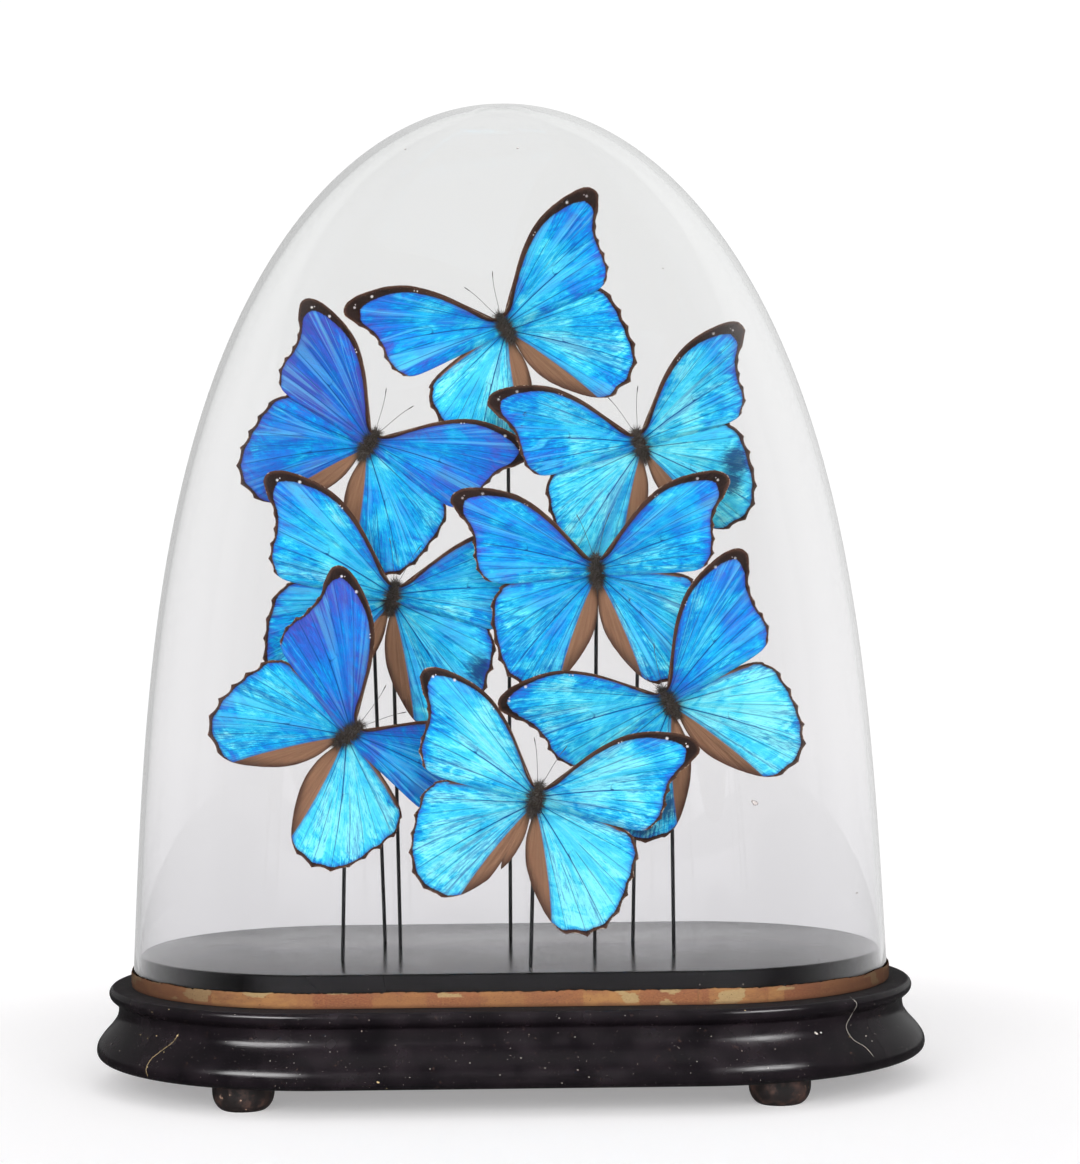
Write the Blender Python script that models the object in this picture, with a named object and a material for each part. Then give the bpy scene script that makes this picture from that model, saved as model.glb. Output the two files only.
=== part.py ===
"""Eight blue morpho butterflies on rods under an oval glass dome, on an ebonised wooden base.

Metres, +Z up, origin on the floor under the middle of the base, the wide side along X.
Sizes are written in millimetres and multiplied by MM where they become coordinates.
"""
import bmesh
import bpy
from math import cos, degrees, pi, radians, sin, sqrt
from mathutils import Matrix, Vector

MM = 0.001
GAP = 0.3               # between pieces that touch

# Plan: every ring is a stadium, two half circles whose centres are 2 * CENTRE apart
CENTRE = 86.0
ARC_STEPS = 16          # edges in each half circle
JOINT_ANGLE = 39.0      # where the end pieces of the moulding are glued on, degrees from X

# Heights
FOOT_TOP = 13.2
LEDGE = 49.4            # top of the moulding, where the dome stands
BOARD_TOP = 63.7
DOME_TOP = 469.0

# Radii of the plan's half circles
BOARD_R = 91.8
RING_PLAY = 0.9         # between the board and the moulding round it
GLASS_R = 95.6
GLASS = 2.4             # thickness of the dome
BAND = 0.7              # thickness of the strip round the dome's foot
BAND_HEIGHT = 8.0
BAND_WAVE = 0.7         # how much its torn top edge goes up and down
BAND_STEPS = 8          # edges in each of its straight sides

# Outer face of the moulding from its ledge to its underside: radius, height
MOULDING = [(103.6, 49.4), (106.2, 48.7), (107.4, 46.6), (107.0, 44.2), (105.0, 42.0), (103.1, 40.8),
            (102.8, 37.6), (104.0, 34.2), (107.2, 30.0), (111.0, 25.6), (113.6, 21.6), (114.0, 18.2),
            (112.4, 15.6), (108.6, 13.8), (103.0, 13.2)]

FEET_AT = (124.0, 78.0)
FOOT_PROFILE = [(9.5, 0.0), (11.4, 1.1), (13.3, 3.6), (14.4, 7.0), (14.6, 10.2), (14.2, 12.9)]
FOOT_SIDES = 20

# Dome: half width over the depth below the apex
DOME_FLARE = 0.115      # narrower towards the shoulder
DOME_ROUND = 3.2        # how square the shoulder is
DOME_LEVELS = 11

# Rods
ROD_R = 0.9
ROD_SIDES = 8
ROD_BEHIND = 7.0        # from the wings' plane back to the rod
HOLE_R = 1.3
HOLE_DEPTH = 4.0

# One butterfly, right side, in its own frame: x out to the side, z towards the head
BODY = [(-8.0, 0.7), (-6.6, 1.9), (-3.6, 2.9), (-0.6, 4.0), (2.8, 4.5), (5.8, 3.6), (7.2, 2.5),
        (8.8, 2.6), (10.2, 1.8), (10.8, 0.7)]
BODY_SIDES = 8
FOREWING = [(0.0, 7.0), (6.0, 11.0), (12.0, 20.8), (19.0, 30.5), (26.0, 38.0), (33.0, 43.5), (42.0, 47.4),
            (53.0, 49.6), (62.5, 49.4), (66.2, 45.6), (63.6, 40.6), (59.4, 34.0), (57.8, 27.0),
            (58.7, 17.0), (58.2, 7.8), (56.4, 1.6), (52.0, -2.4), (43.5, -3.6), (28.0, -2.4), (0.0, 0.0)]
HINDWING = [(0.0, 3.0), (16.0, 3.0), (32.0, 2.0), (45.0, -0.6), (51.6, -6.0), (53.8, -15.0), (53.4, -26.0),
            (51.4, -38.0), (46.8, -47.4), (39.0, -52.8), (30.0, -53.8), (21.6, -50.0), (12.0, -40.6),
            (5.2, -29.0), (1.6, -17.0), (0.0, -5.0)]
FORE_HINGE = (3.0, 4.0)
HIND_HINGE = (3.0, -1.0)
WING = 0.8              # thickness of a wing
WING_STEP = 0.5         # the forewing lies this far in front of the hindwing
ANTENNA = [(1.2, 9.8), (3.4, 17.0), (6.0, 24.0), (8.6, 30.5)]
ANTENNA_R = 0.35
PITCH = -4.0            # the heads lean back a little

# Each butterfly: place of its thorax, tilt to its right in the picture plane, turn about the upright,
# lift of the left and right wings towards the viewer, swing of each wing towards the head, size,
# and where its rod stands on the board. Lengths in millimetres, angles in degrees.
BUTTERFLIES = [
    dict(at=(2, 30, 361), tilt=-29, turn=-5, lift=(9, 9), fore=(2, -6), hind=(-4, 3), size=1.01, rod_x=1.4),
    dict(at=(-67, 16, 305), tilt=34, turn=3, lift=(6, 6), fore=(-3, -5), hind=(3, 2), size=0.99, rod_x=-59),
    dict(at=(66, 9, 303), tilt=-18, turn=-5, lift=(10, 12), fore=(0, -5), hind=(5, 0), size=0.97, rod_x=61),
    dict(at=(-55, -4, 231), tilt=13, turn=-5, lift=(8, 9), fore=(-3, -3), hind=(-2, 0), size=1.07, rod_x=-52),
    dict(at=(43, -21, 243), tilt=-3, turn=-5, lift=(8, 8), fore=(-4, -3), hind=(-1, -3), size=0.98, rod_x=42),
    dict(at=(77, -42, 182), tilt=-30, turn=-1, lift=(6, 7), fore=(-5, -1), hind=(4, -2), size=1.03, rod_x=79),
    dict(at=(-76, -51, 170), tilt=54, turn=1, lift=(6, 6), fore=(-2, 8), hind=(0, 1), size=1.00, rod_x=-77),
    dict(at=(12, -79, 140), tilt=15, turn=-1, lift=(5, 5), fore=(0, -2), hind=(1, -3), size=1.00, rod_x=11),
]


def srgb(hex_colour):
    channels = [int(hex_colour[i:i + 2], 16) / 255 for i in (1, 3, 5)]
    return [c / 12.92 if c <= 0.04045 else ((c + 0.055) / 1.055) ** 2.4 for c in channels] + [1.0]


def material(name, colour, roughness, metallic=0.0, alpha=1.0):
    made = bpy.data.materials.new(name)
    made.use_nodes = True
    shader = made.node_tree.nodes["Principled BSDF"]
    shader.inputs["Base Color"].default_value = srgb(colour)
    shader.inputs["Roughness"].default_value = roughness
    shader.inputs["Metallic"].default_value = metallic
    shader.inputs["Alpha"].default_value = alpha
    return made


def make_object(name, bm, finish, sharp_angle=35.0):
    bmesh.ops.recalc_face_normals(bm, faces=bm.faces)
    mesh = bpy.data.meshes.new(name)
    bm.to_mesh(mesh)
    bm.free()
    mesh.shade_smooth()
    mesh.set_sharp_from_angle(angle=radians(sharp_angle))
    mesh.materials.append(finish)
    made = bpy.data.objects.new(name, mesh)
    bpy.context.scene.collection.objects.link(made)
    return made


def arc(side, first, last):
    """Plan points of one half circle between two angles: its centre and the outward direction."""
    steps = max(1, round((last - first) / 180.0 * ARC_STEPS))
    points = []
    for i in range(steps + 1):
        angle = radians(first + (last - first) * i / steps)
        points.append((side * CENTRE, cos(angle), sin(angle)))
    return points


def straight(side, steps):
    """The inner plan points of one straight side, in the direction of the arcs."""
    points = []
    for i in range(1, steps):
        points.append((side * CENTRE * (1 - 2 * i / steps), 0.0, float(side)))
    return points


def plan_points(scale=1.0, straight_steps=1):
    """The whole stadium, closed, anticlockwise from the front right."""
    points = arc(1, -90.0, 90.0) + straight(1, straight_steps)
    points += arc(-1, 90.0, 270.0) + straight(-1, straight_steps)
    return [(cx * scale, dx, dy) for cx, dx, dy in points]


def ring_verts(bm, points, radius, height):
    return [bm.verts.new(((cx + radius * dx) * MM, radius * dy * MM, height * MM)) for cx, dx, dy in points]


def bridge(bm, low, high):
    count = len(low)
    for i in range(count):
        j = (i + 1) % count
        bm.faces.new((low[i], low[j], high[j], high[i]))


def stack(bm, loops):
    """Join loops of the same length one after another and close both ends."""
    for low, high in zip(loops, loops[1:]):
        bridge(bm, low, high)
    bm.faces.new(reversed(loops[0]))
    bm.faces.new(loops[-1])


def turned(name, profile, sides, centre, finish):
    """A round piece with an upright axis through centre, from radius and height pairs."""
    bm = bmesh.new()
    loops = []
    for radius, height in profile:
        loop = []
        for i in range(sides):
            angle = 2 * pi * i / sides
            offset = (radius * cos(angle), radius * sin(angle), height)
            loop.append(bm.verts.new((Vector(centre) + Vector(offset)) * MM))
        loops.append(loop)
    stack(bm, loops)
    return make_object(name, bm, finish)


def tube(name, path, radius, sides, finish):
    """A round rod along a list of points that lie in one upright plane or nearly so."""
    bm = bmesh.new()
    add_tube(bm, path, radius, sides)
    return make_object(name, bm, finish)


def add_tube(bm, path, radius, sides):
    path = [Vector(p) for p in path]
    loops = []
    for i, point in enumerate(path):
        ahead = path[min(i + 1, len(path) - 1)] - path[max(i - 1, 0)]
        across = ahead.cross(Vector((1, 0, 0))).normalized()
        other = ahead.cross(across).normalized()
        loop = []
        for k in range(sides):
            angle = 2 * pi * k / sides
            loop.append(bm.verts.new((point + (across * cos(angle) + other * sin(angle)) * radius) * MM))
        loops.append(loop)
    stack(bm, loops)


def moulding_piece(name, points, finish):
    """One glued length of the base moulding, along part of the plan."""
    bm = bmesh.new()
    inner = BOARD_R + RING_PLAY
    profile = [(inner, LEDGE)] + MOULDING + [(inner, FOOT_TOP)]
    sections = []
    for cx, dx, dy in points:
        sections.append([bm.verts.new(((cx + r * dx) * MM, r * dy * MM, z * MM)) for r, z in profile])
    stack(bm, sections)
    return make_object(name, bm, finish)


def moulding(finish):
    """The ring in four glued pieces, with hairline gaps at the joints."""
    end = JOINT_ANGLE - degrees(GAP / 2 / MOULDING[0][0])
    side = JOINT_ANGLE + degrees(GAP / 2 / MOULDING[0][0])
    back = arc(1, side, 90.0) + arc(-1, 90.0, 180.0 - side)
    front = arc(-1, 180.0 + side, 270.0) + arc(1, -90.0, -side)
    moulding_piece("moulding_right_end", arc(1, -end, end), finish)
    moulding_piece("moulding_back", back, finish)
    moulding_piece("moulding_left_end", arc(-1, 180.0 - end, 180.0 + end), finish)
    moulding_piece("moulding_front", front, finish)


def rod_path(fly):
    """Up from the board and forward into the underside of the thorax."""
    x, y, z = fly["at"]
    back = y + ROD_BEHIND
    foot = Vector((fly["rod_x"], back, BOARD_TOP - HOLE_DEPTH + GAP))
    neck = Vector((x, back, z))
    tip = y + BODY[4][1] + 2 * GAP
    return [foot, neck, Vector((x, back - 0.6, z + 1.3)), Vector((x, tip, z + 1.9))]


def display_board(finish):
    bm = bmesh.new()
    points = plan_points()
    levels = [(BOARD_R, FOOT_TOP), (BOARD_R, BOARD_TOP - 1.0), (BOARD_R - 1.0, BOARD_TOP)]
    stack(bm, [ring_verts(bm, points, radius, height) for radius, height in levels])
    board = make_object("display_board", bm, finish)
    for number, fly in enumerate(BUTTERFLIES, start=1):
        foot = rod_path(fly)[0]
        profile = [(HOLE_R, BOARD_TOP - HOLE_DEPTH), (HOLE_R, BOARD_TOP + HOLE_DEPTH)]
        cutter = turned(f"hole_{number}", profile, ROD_SIDES, (foot.x, foot.y, 0.0), finish)
        cutter.hide_render = True
        cutter.display_type = "WIRE"
        cut = board.modifiers.new(f"Hole {number}", "BOOLEAN")
        cut.object = cutter
        cut.operation = "DIFFERENCE"
    return board


def dome_scale(level):
    """Width of the dome at a depth below its apex, both as fractions of those at its foot."""
    flare = 1 - DOME_FLARE * (1 - level)
    return flare * sqrt(max(0.0, 1 - (1 - level) ** DOME_ROUND))


def glass_dome(finish):
    bm = bmesh.new()
    foot = LEDGE + GAP
    skins = []
    for inset in (0.0, GLASS):
        top = DOME_TOP - inset
        loops = []
        for i in range(DOME_LEVELS, 0, -1):
            level = (i / DOME_LEVELS) ** 2
            height = top - level * (top - foot)
            scale = dome_scale(level)
            loops.append(ring_verts(bm, plan_points(scale), scale * GLASS_R - inset, height))
        apex = bm.verts.new((0, 0, top * MM))
        for low, high in zip(loops, loops[1:]):
            bridge(bm, low, high)
        last = loops[-1]
        for a, b in zip(last, last[1:] + last[:1]):
            bm.faces.new((a, b, apex))
        skins.append(loops[0])
    bridge(bm, *skins)
    return make_object("glass_dome", bm, finish, sharp_angle=60.0)


def foot_band(finish):
    """The paper strip glued round the outside of the dome's foot, with its torn top edge."""
    bm = bmesh.new()
    points = plan_points(straight_steps=BAND_STEPS)
    low = LEDGE + GAP
    inner = GLASS_R + GAP
    outer = inner + BAND
    loops = []
    for radius, top in ((inner, False), (outer, False), (outer, True), (inner, True)):
        loop = ring_verts(bm, points, radius, low)
        for i, vert in enumerate(loop):
            if top:
                wave = sin(1.9 * i) + sin(0.7 * i + 1.0)
                vert.co.z += (BAND_HEIGHT - BAND_WAVE + BAND_WAVE * wave / 2) * MM
        loops.append(loop)
    for a, b in zip(loops, loops[1:] + loops[:1]):
        bridge(bm, a, b)
    return make_object("foot_band", bm, finish)


def wing_mesh(name, outline, hinge, side, swing, lift, size, forward, finish):
    """A flat wing as a closed plate, swung about its hinge and lifted about the body's long axis."""
    bm = bmesh.new()
    hinge_at = Vector((hinge[0], 0, hinge[1]))
    swung = Matrix.Rotation(radians(-swing), 4, "Y")
    lifted = Matrix.Rotation(radians(-lift), 4, "Z")
    plates = []
    for depth in (-forward - WING / 2, -forward + WING / 2):
        plate = []
        for x, z in outline:
            point = swung @ ((Vector((x, 0, z)) - hinge_at) * size) + hinge_at
            point.y = depth
            point = lifted @ point
            plate.append(bm.verts.new((point.x * side * MM, point.y * MM, point.z * MM)))
        plates.append(plate)
    stack(bm, plates)
    return make_object(name, bm, finish, sharp_angle=60.0)


def body_mesh(name, finish):
    bm = bmesh.new()
    loops = []
    for z, radius in BODY:
        loop = []
        for i in range(BODY_SIDES):
            angle = 2 * pi * i / BODY_SIDES
            loop.append(bm.verts.new((radius * cos(angle) * MM, radius * sin(angle) * MM, z * MM)))
        loops.append(loop)
    stack(bm, loops)
    return make_object(name, bm, finish)


def antenna_mesh(name, side, finish):
    bm = bmesh.new()
    add_tube(bm, [(x * side, 0.0, z) for x, z in ANTENNA], ANTENNA_R, 4)
    return make_object(name, bm, finish)


def butterfly(number, fly, wing_finish):
    """Body, four wings and two antennae grown as one piece."""
    name = f"butterfly_{number}"
    whole = body_mesh(name, wing_finish)
    parts = []
    for side, index in ((-1, 0), (1, 1)):
        word = "left" if side < 0 else "right"
        parts.append(wing_mesh(f"{name}_fore_{word}", FOREWING, FORE_HINGE, side, fly["fore"][index],
                               fly["lift"][index], fly["size"], WING_STEP / 2, wing_finish))
        parts.append(wing_mesh(f"{name}_hind_{word}", HINDWING, HIND_HINGE, side, fly["hind"][index],
                               fly["lift"][index], fly["size"], -WING_STEP / 2, wing_finish))
        parts.append(antenna_mesh(f"{name}_antenna_{word}", side, wing_finish))
    for part in parts:
        join = whole.modifiers.new(part.name, "BOOLEAN")
        join.object = part
        join.operation = "UNION"
    evaluated = whole.evaluated_get(bpy.context.evaluated_depsgraph_get())
    mesh = bpy.data.meshes.new_from_object(evaluated)
    whole.modifiers.clear()
    whole.data = mesh
    for part in parts:
        bpy.data.objects.remove(part)
    whole.location = Vector(fly["at"]) * MM
    whole.rotation_euler = (radians(PITCH), radians(fly["tilt"]), radians(fly["turn"]))
    return whole


def build():
    for old in list(bpy.data.objects):
        bpy.data.objects.remove(old)
    ebony = material("ebonised wood", "#1E1A1F", 0.22)
    worn = material("worn foot wood", "#2C2320", 0.5)
    glass = material("clear glass", "#E8EEEC", 0.03, alpha=0.3)
    paper = material("brown paper strip", "#B5703F", 0.8)
    wire = material("black rod", "#17171A", 0.4)
    blue = material("blue morpho wing", "#2F6FB8", 0.35, metallic=0.3)

    moulding(ebony)
    display_board(ebony)
    glass_dome(glass)
    foot_band(paper)
    for word_x, sx in (("left", -1), ("right", 1)):
        for word_y, sy in (("front", -1), ("back", 1)):
            centre = (sx * FEET_AT[0], sy * FEET_AT[1], 0.0)
            turned(f"foot_{word_y}_{word_x}", FOOT_PROFILE, FOOT_SIDES, centre, worn)
    for number, fly in enumerate(BUTTERFLIES, start=1):
        tube(f"rod_{number}", rod_path(fly), ROD_R, ROD_SIDES, wire)
        butterfly(number, fly, blue)


build()
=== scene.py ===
import bmesh
import bpy
import numpy as np
from math import cos, degrees, pi, radians, sin, sqrt
from mathutils import Euler, Matrix, Vector, noise
from mathutils.bvhtree import BVHTree


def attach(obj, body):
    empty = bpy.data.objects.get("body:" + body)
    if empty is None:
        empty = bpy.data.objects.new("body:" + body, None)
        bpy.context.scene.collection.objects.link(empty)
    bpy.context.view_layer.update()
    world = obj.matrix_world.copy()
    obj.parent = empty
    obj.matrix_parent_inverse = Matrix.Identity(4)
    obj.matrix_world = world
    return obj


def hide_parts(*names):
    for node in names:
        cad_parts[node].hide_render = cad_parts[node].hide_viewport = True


# A glass dome of blue morpho butterflies. All sizes in this script are millimetres unless a note
# says otherwise, and are multiplied by mm where they become Blender's metres.

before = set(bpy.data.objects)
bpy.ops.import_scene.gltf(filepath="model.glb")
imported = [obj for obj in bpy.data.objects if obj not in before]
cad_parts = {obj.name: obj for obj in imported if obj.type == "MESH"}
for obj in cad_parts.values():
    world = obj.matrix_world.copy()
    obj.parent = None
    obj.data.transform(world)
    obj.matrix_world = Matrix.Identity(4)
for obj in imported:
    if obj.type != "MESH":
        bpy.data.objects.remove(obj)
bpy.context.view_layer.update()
mm = 0.001
scene = bpy.context.scene
print("frame loaded:", len(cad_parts), "nodes")


# Small helpers

def hexColour(code):
    # sRGB hex to the linear colour that the shaders use
    channels = [int(code[i:i + 2], 16) / 255 for i in (1, 3, 5)]
    return [c / 12.92 if c <= 0.04045 else ((c + 0.055) / 1.055) ** 2.4 for c in channels] + [1.0]


def addNode(tree, kind, links=None, stops=None, **settings):
    # one node with its settings; links maps an input's name or number to a value or to another socket
    made = tree.nodes.new(kind)
    for name, value in settings.items():
        setattr(made, name, value)
    for socket, value in (links or {}).items():
        if isinstance(value, bpy.types.NodeSocket):
            tree.links.new(value, made.inputs[socket])
        else:
            made.inputs[socket].default_value = value
    if stops:
        elements = made.color_ramp.elements
        while len(elements) < len(stops):
            elements.new(0.5)
        for element, (place, colour) in zip(elements, stops):
            element.position = place
            element.color = hexColour(colour) if isinstance(colour, str) else [colour] * 3 + [1.0]
    return made


def startMaterial(name, **shaderValues):
    made = bpy.data.materials.new(name)
    made.use_nodes = True
    tree = made.node_tree
    shader = tree.nodes["Principled BSDF"]
    for socket, value in shaderValues.items():
        shader.inputs[socket.replace("_", " ")].default_value = value
    return made, tree, shader


def mathNode(tree, operation, a, b=0.0, c=0.0, clamp=False):
    return addNode(tree, "ShaderNodeMath", {0: a, 1: b, 2: c}, operation=operation, use_clamp=clamp).outputs[0]


def mixColour(tree, share, a, b, blend="MIX"):
    mixed = addNode(tree, "ShaderNodeMix", {0: share, 6: a, 7: b}, data_type="RGBA", blend_type=blend)
    return mixed.outputs[2]


def step(tree, value, low, high):
    # 0 below low, 1 above high, smooth between
    made = addNode(tree, "ShaderNodeMapRange", {0: value, 1: low, 2: high}, interpolation_type="SMOOTHSTEP")
    return made.outputs[0]


def noiseAt(tree, vector, scale, detail=3.0, rough=0.55, distortion=0.0):
    made = addNode(tree, "ShaderNodeTexNoise", {"Vector": vector, "Scale": scale, "Detail": detail,
                                                 "Roughness": rough, "Distortion": distortion})
    return made.outputs[0]


def stretched(tree, vector, scale, turn=(0, 0, 0), shift=(0, 0, 0)):
    made = addNode(tree, "ShaderNodeMapping", {"Vector": vector, "Scale": scale, "Rotation": turn,
                                                "Location": shift})
    return made.outputs[0]


def bumpTo(tree, shader, height, depth, strength=1.0):
    # depth is the real height of the relief in metres
    bump = addNode(tree, "ShaderNodeBump", {"Height": height, "Distance": depth, "Strength": strength})
    tree.links.new(bump.outputs[0], shader.inputs["Normal"])


def smoothCurve(points, perSpan, closed=False):
    # Catmull-Rom curve through points, perSpan steps between each two
    points = np.array(points, float)
    count = len(points)
    result = []
    for i in range(count if closed else count - 1):
        a = points[(i - 1) % count] if closed or i else 2 * points[0] - points[1]
        b = points[i]
        c = points[(i + 1) % count]
        d = points[(i + 2) % count] if closed or i + 2 < count else 2 * points[-1] - points[-2]
        for k in range(perSpan):
            u = k / perSpan
            result.append(0.5 * (2 * b + (c - a) * u + (2 * a - 5 * b + 4 * c - d) * u * u
                                 + (3 * b - a - 3 * c + d) * u ** 3))
    if not closed:
        result.append(points[-1])
    return np.array(result)


def gridFaces(rows, columns, start=0, closed=False):
    faces = []
    for r in range(rows - 1):
        for c in range(columns if closed else columns - 1):
            d = (c + 1) % columns
            faces.append((start + r * columns + c, start + r * columns + d,
                          start + (r + 1) * columns + d, start + (r + 1) * columns + c))
    return faces


def joinParts(name, parts, materials, sharp=50.0):
    # parts are dictionaries of verts in mm, faces, finish (number of the material) and fields,
    # which become UV maps (two columns) or attributes (one column)
    verts = np.concatenate([part["verts"] for part in parts])
    faces = []
    finishes = []
    start = 0
    for part in parts:
        faces += [tuple(i + start for i in face) for face in part["faces"]]
        finish = part.get("finish", 0)
        finishes += list(finish) if isinstance(finish, (list, np.ndarray)) else [finish] * len(part["faces"])
        start += len(part["verts"])
    mesh = bpy.data.meshes.new(name)
    mesh.from_pydata((verts * mm).tolist(), [], faces)
    for material in materials:
        mesh.materials.append(material)
    mesh.polygons.foreach_set("material_index", finishes)
    names = {}
    for part in parts:
        for field, values in part.get("fields", {}).items():
            names[field] = values.ndim
    corners = np.empty(len(mesh.loops), int)
    mesh.loops.foreach_get("vertex_index", corners)
    for field, dims in names.items():
        columns = []
        for part in parts:
            empty = np.zeros((len(part["verts"]), 2) if dims == 2 else len(part["verts"]))
            columns.append(part.get("fields", {}).get(field, empty))
        values = np.concatenate(columns)
        if dims == 2:
            mesh.uv_layers.new(name=field).data.foreach_set("uv", values[corners].ravel())
        else:
            mesh.attributes.new(field, "FLOAT", "POINT").data.foreach_set("value", values)
    bm = bmesh.new()
    bm.from_mesh(mesh)
    bmesh.ops.recalc_face_normals(bm, faces=bm.faces)
    bm.to_mesh(mesh)
    bm.free()
    mesh.shade_smooth()
    mesh.set_sharp_from_angle(angle=radians(sharp))
    made = bpy.data.objects.new(name, mesh)
    scene.collection.objects.link(made)
    return made


def tubePart(path, radii, sides, finish=0):
    path = np.array(path, float)
    radii = np.broadcast_to(radii, len(path))
    ahead = np.gradient(path, axis=0)
    ahead /= np.linalg.norm(ahead, axis=1)[:, None]
    side = np.cross(ahead, (0.31, 0.9, 0.2))
    side /= np.linalg.norm(side, axis=1)[:, None]
    other = np.cross(ahead, side)
    turn = np.arange(sides) * 2 * pi / sides
    ring = side[:, None] * np.cos(turn)[None, :, None] + other[:, None] * np.sin(turn)[None, :, None]
    verts = (path[:, None] + ring * radii[:, None, None]).reshape(-1, 3)
    faces = gridFaces(len(path), sides, closed=True)
    faces.append(tuple(range(sides)))
    faces.append(tuple((len(path) - 1) * sides + k for k in reversed(range(sides))))
    return {"verts": verts, "faces": faces, "finish": finish}


def dress(piece, slot, *nodes):
    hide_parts(*nodes)
    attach(piece, "root")


# Materials

def ebonisedWood():
    # turned wood stained black and French polished: deep gloss, faint grain, dust in the hollows,
    # brown wood where the polish has worn thin
    made, tree, shader = startMaterial("ebonisedWood", IOR=1.5, Specular_IOR_Level=0.34)
    place = addNode(tree, "ShaderNodeTexCoord").outputs["Object"]
    grain = noiseAt(tree, stretched(tree, place, (60, 60, 900)), 1.0, 4)
    patches = noiseAt(tree, place, 45.0, 4)
    specks = noiseAt(tree, place, 900.0, 2)
    colour = mixColour(tree, step(tree, patches, 0.35, 0.75), hexColour("#0F0C0F"), hexColour("#1B1519"))
    worn = mathNode(tree, "MULTIPLY", step(tree, noiseAt(tree, place, 160.0, 5, 0.7), 0.62, 0.72), 0.5)
    colour = mixColour(tree, worn, colour, hexColour("#3A2A24"))
    colour = mixColour(tree, step(tree, specks, 0.74, 0.78), colour, hexColour("#8C8078"))
    tree.links.new(colour, shader.inputs["Base Color"])
    rough = addNode(tree, "ShaderNodeMapRange", {0: patches, 1: 0.3, 2: 0.8, 3: 0.14, 4: 0.34}).outputs[0]
    # the ledge under the paper strip was never polished
    height = addNode(tree, "ShaderNodeSeparateXYZ", {0: place}).outputs[2]
    ledge = step(tree, height, 0.0476, 0.0481)
    rough = mathNode(tree, "ADD", rough, mathNode(tree, "MULTIPLY", ledge, 0.6))
    tree.links.new(rough, shader.inputs["Roughness"])
    bumpTo(tree, shader, mathNode(tree, "ADD", grain, patches), 0.00006)
    return made


def polishedBoard():
    # flat board in the same black polish, smooth enough to mirror the rods softly
    made, tree, shader = startMaterial("polishedBoard", IOR=1.5, Specular_IOR_Level=0.23)
    place = addNode(tree, "ShaderNodeTexCoord").outputs["Object"]
    cloud = noiseAt(tree, place, 20.0, 3)
    specks = noiseAt(tree, place, 420.0, 2)
    colour = mixColour(tree, cloud, hexColour("#0C0B0D"), hexColour("#161416"))
    # a thin pale layer on top, heavier towards the front: partly dust, partly a painted reflection of the white
    # backdrop
    parts = addNode(tree, "ShaderNodeSeparateXYZ", {0: place}).outputs
    up = addNode(tree, "ShaderNodeSeparateXYZ", {0: addNode(tree, "ShaderNodeNewGeometry").outputs["Normal"]}).outputs[2]
    paintedLightFilm = mathNode(tree, "MULTIPLY", step(tree, mathNode(tree, "MULTIPLY", parts[1], -1.0), -0.05, 0.1),
                    step(tree, up, 0.8, 0.95))
    colour = mixColour(tree, mathNode(tree, "MULTIPLY", paintedLightFilm, 0.3), colour, hexColour("#83807F"))
    colour = mixColour(tree, step(tree, specks, 0.76, 0.79), colour, hexColour("#7D766E"))
    tree.links.new(colour, shader.inputs["Base Color"])
    rough = addNode(tree, "ShaderNodeMapRange", {0: cloud, 1: 0.3, 2: 0.7, 3: 0.13, 4: 0.2}).outputs[0]
    tree.links.new(rough, shader.inputs["Roughness"])
    return made


def wornFootWood():
    # small turned feet, black stain rubbed through to brown
    made, tree, shader = startMaterial("wornFootWood", IOR=1.5)
    place = addNode(tree, "ShaderNodeTexCoord").outputs["Object"]
    rub = noiseAt(tree, place, 140.0, 5, 0.65)
    colour = mixColour(tree, step(tree, rub, 0.45, 0.7), hexColour("#1F1A1A"), hexColour("#4A332B"))
    colour = mixColour(tree, step(tree, noiseAt(tree, place, 330.0, 3), 0.66, 0.72), colour, hexColour("#8A6E5C"))
    tree.links.new(colour, shader.inputs["Base Color"])
    rough = addNode(tree, "ShaderNodeMapRange", {0: rub, 1: 0.3, 2: 0.7, 3: 0.35, 4: 0.6}).outputs[0]
    tree.links.new(rough, shader.inputs["Roughness"])
    bumpTo(tree, shader, rub, 0.0003)
    return made


def blownGlass():
    # soda-lime glass blown in a mould: clear, its colour a little greyer low down, which is painted shade
    made, tree, shader = startMaterial("blownGlass", IOR=1.48, Roughness=0.0, Transmission_Weight=1.0)
    place = addNode(tree, "ShaderNodeTexCoord").outputs["Object"]
    height = addNode(tree, "ShaderNodeSeparateXYZ", {0: place}).outputs[2]
    # painted shade: the glass colour darker towards the bottom
    paintedLightFilm = addNode(tree, "ShaderNodeMapRange", {0: height, 1: 0.06, 2: 0.40}).outputs[0]
    tint = addNode(tree, "ShaderNodeValToRGB", {0: paintedLightFilm},
                   stops=[(0.0, "#EFEEF0"), (0.3, "#F7F6F7"), (1.0, "#F9F9F9")])
    tree.links.new(tint.outputs[0], shader.inputs["Base Color"])
    thick = addNode(tree, "ShaderNodeVolumeAbsorption", {"Color": hexColour("#C4CFCA"), "Density": 14.0})
    tree.links.new(thick.outputs[0], tree.nodes["Material Output"].inputs["Volume"])
    return made


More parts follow.
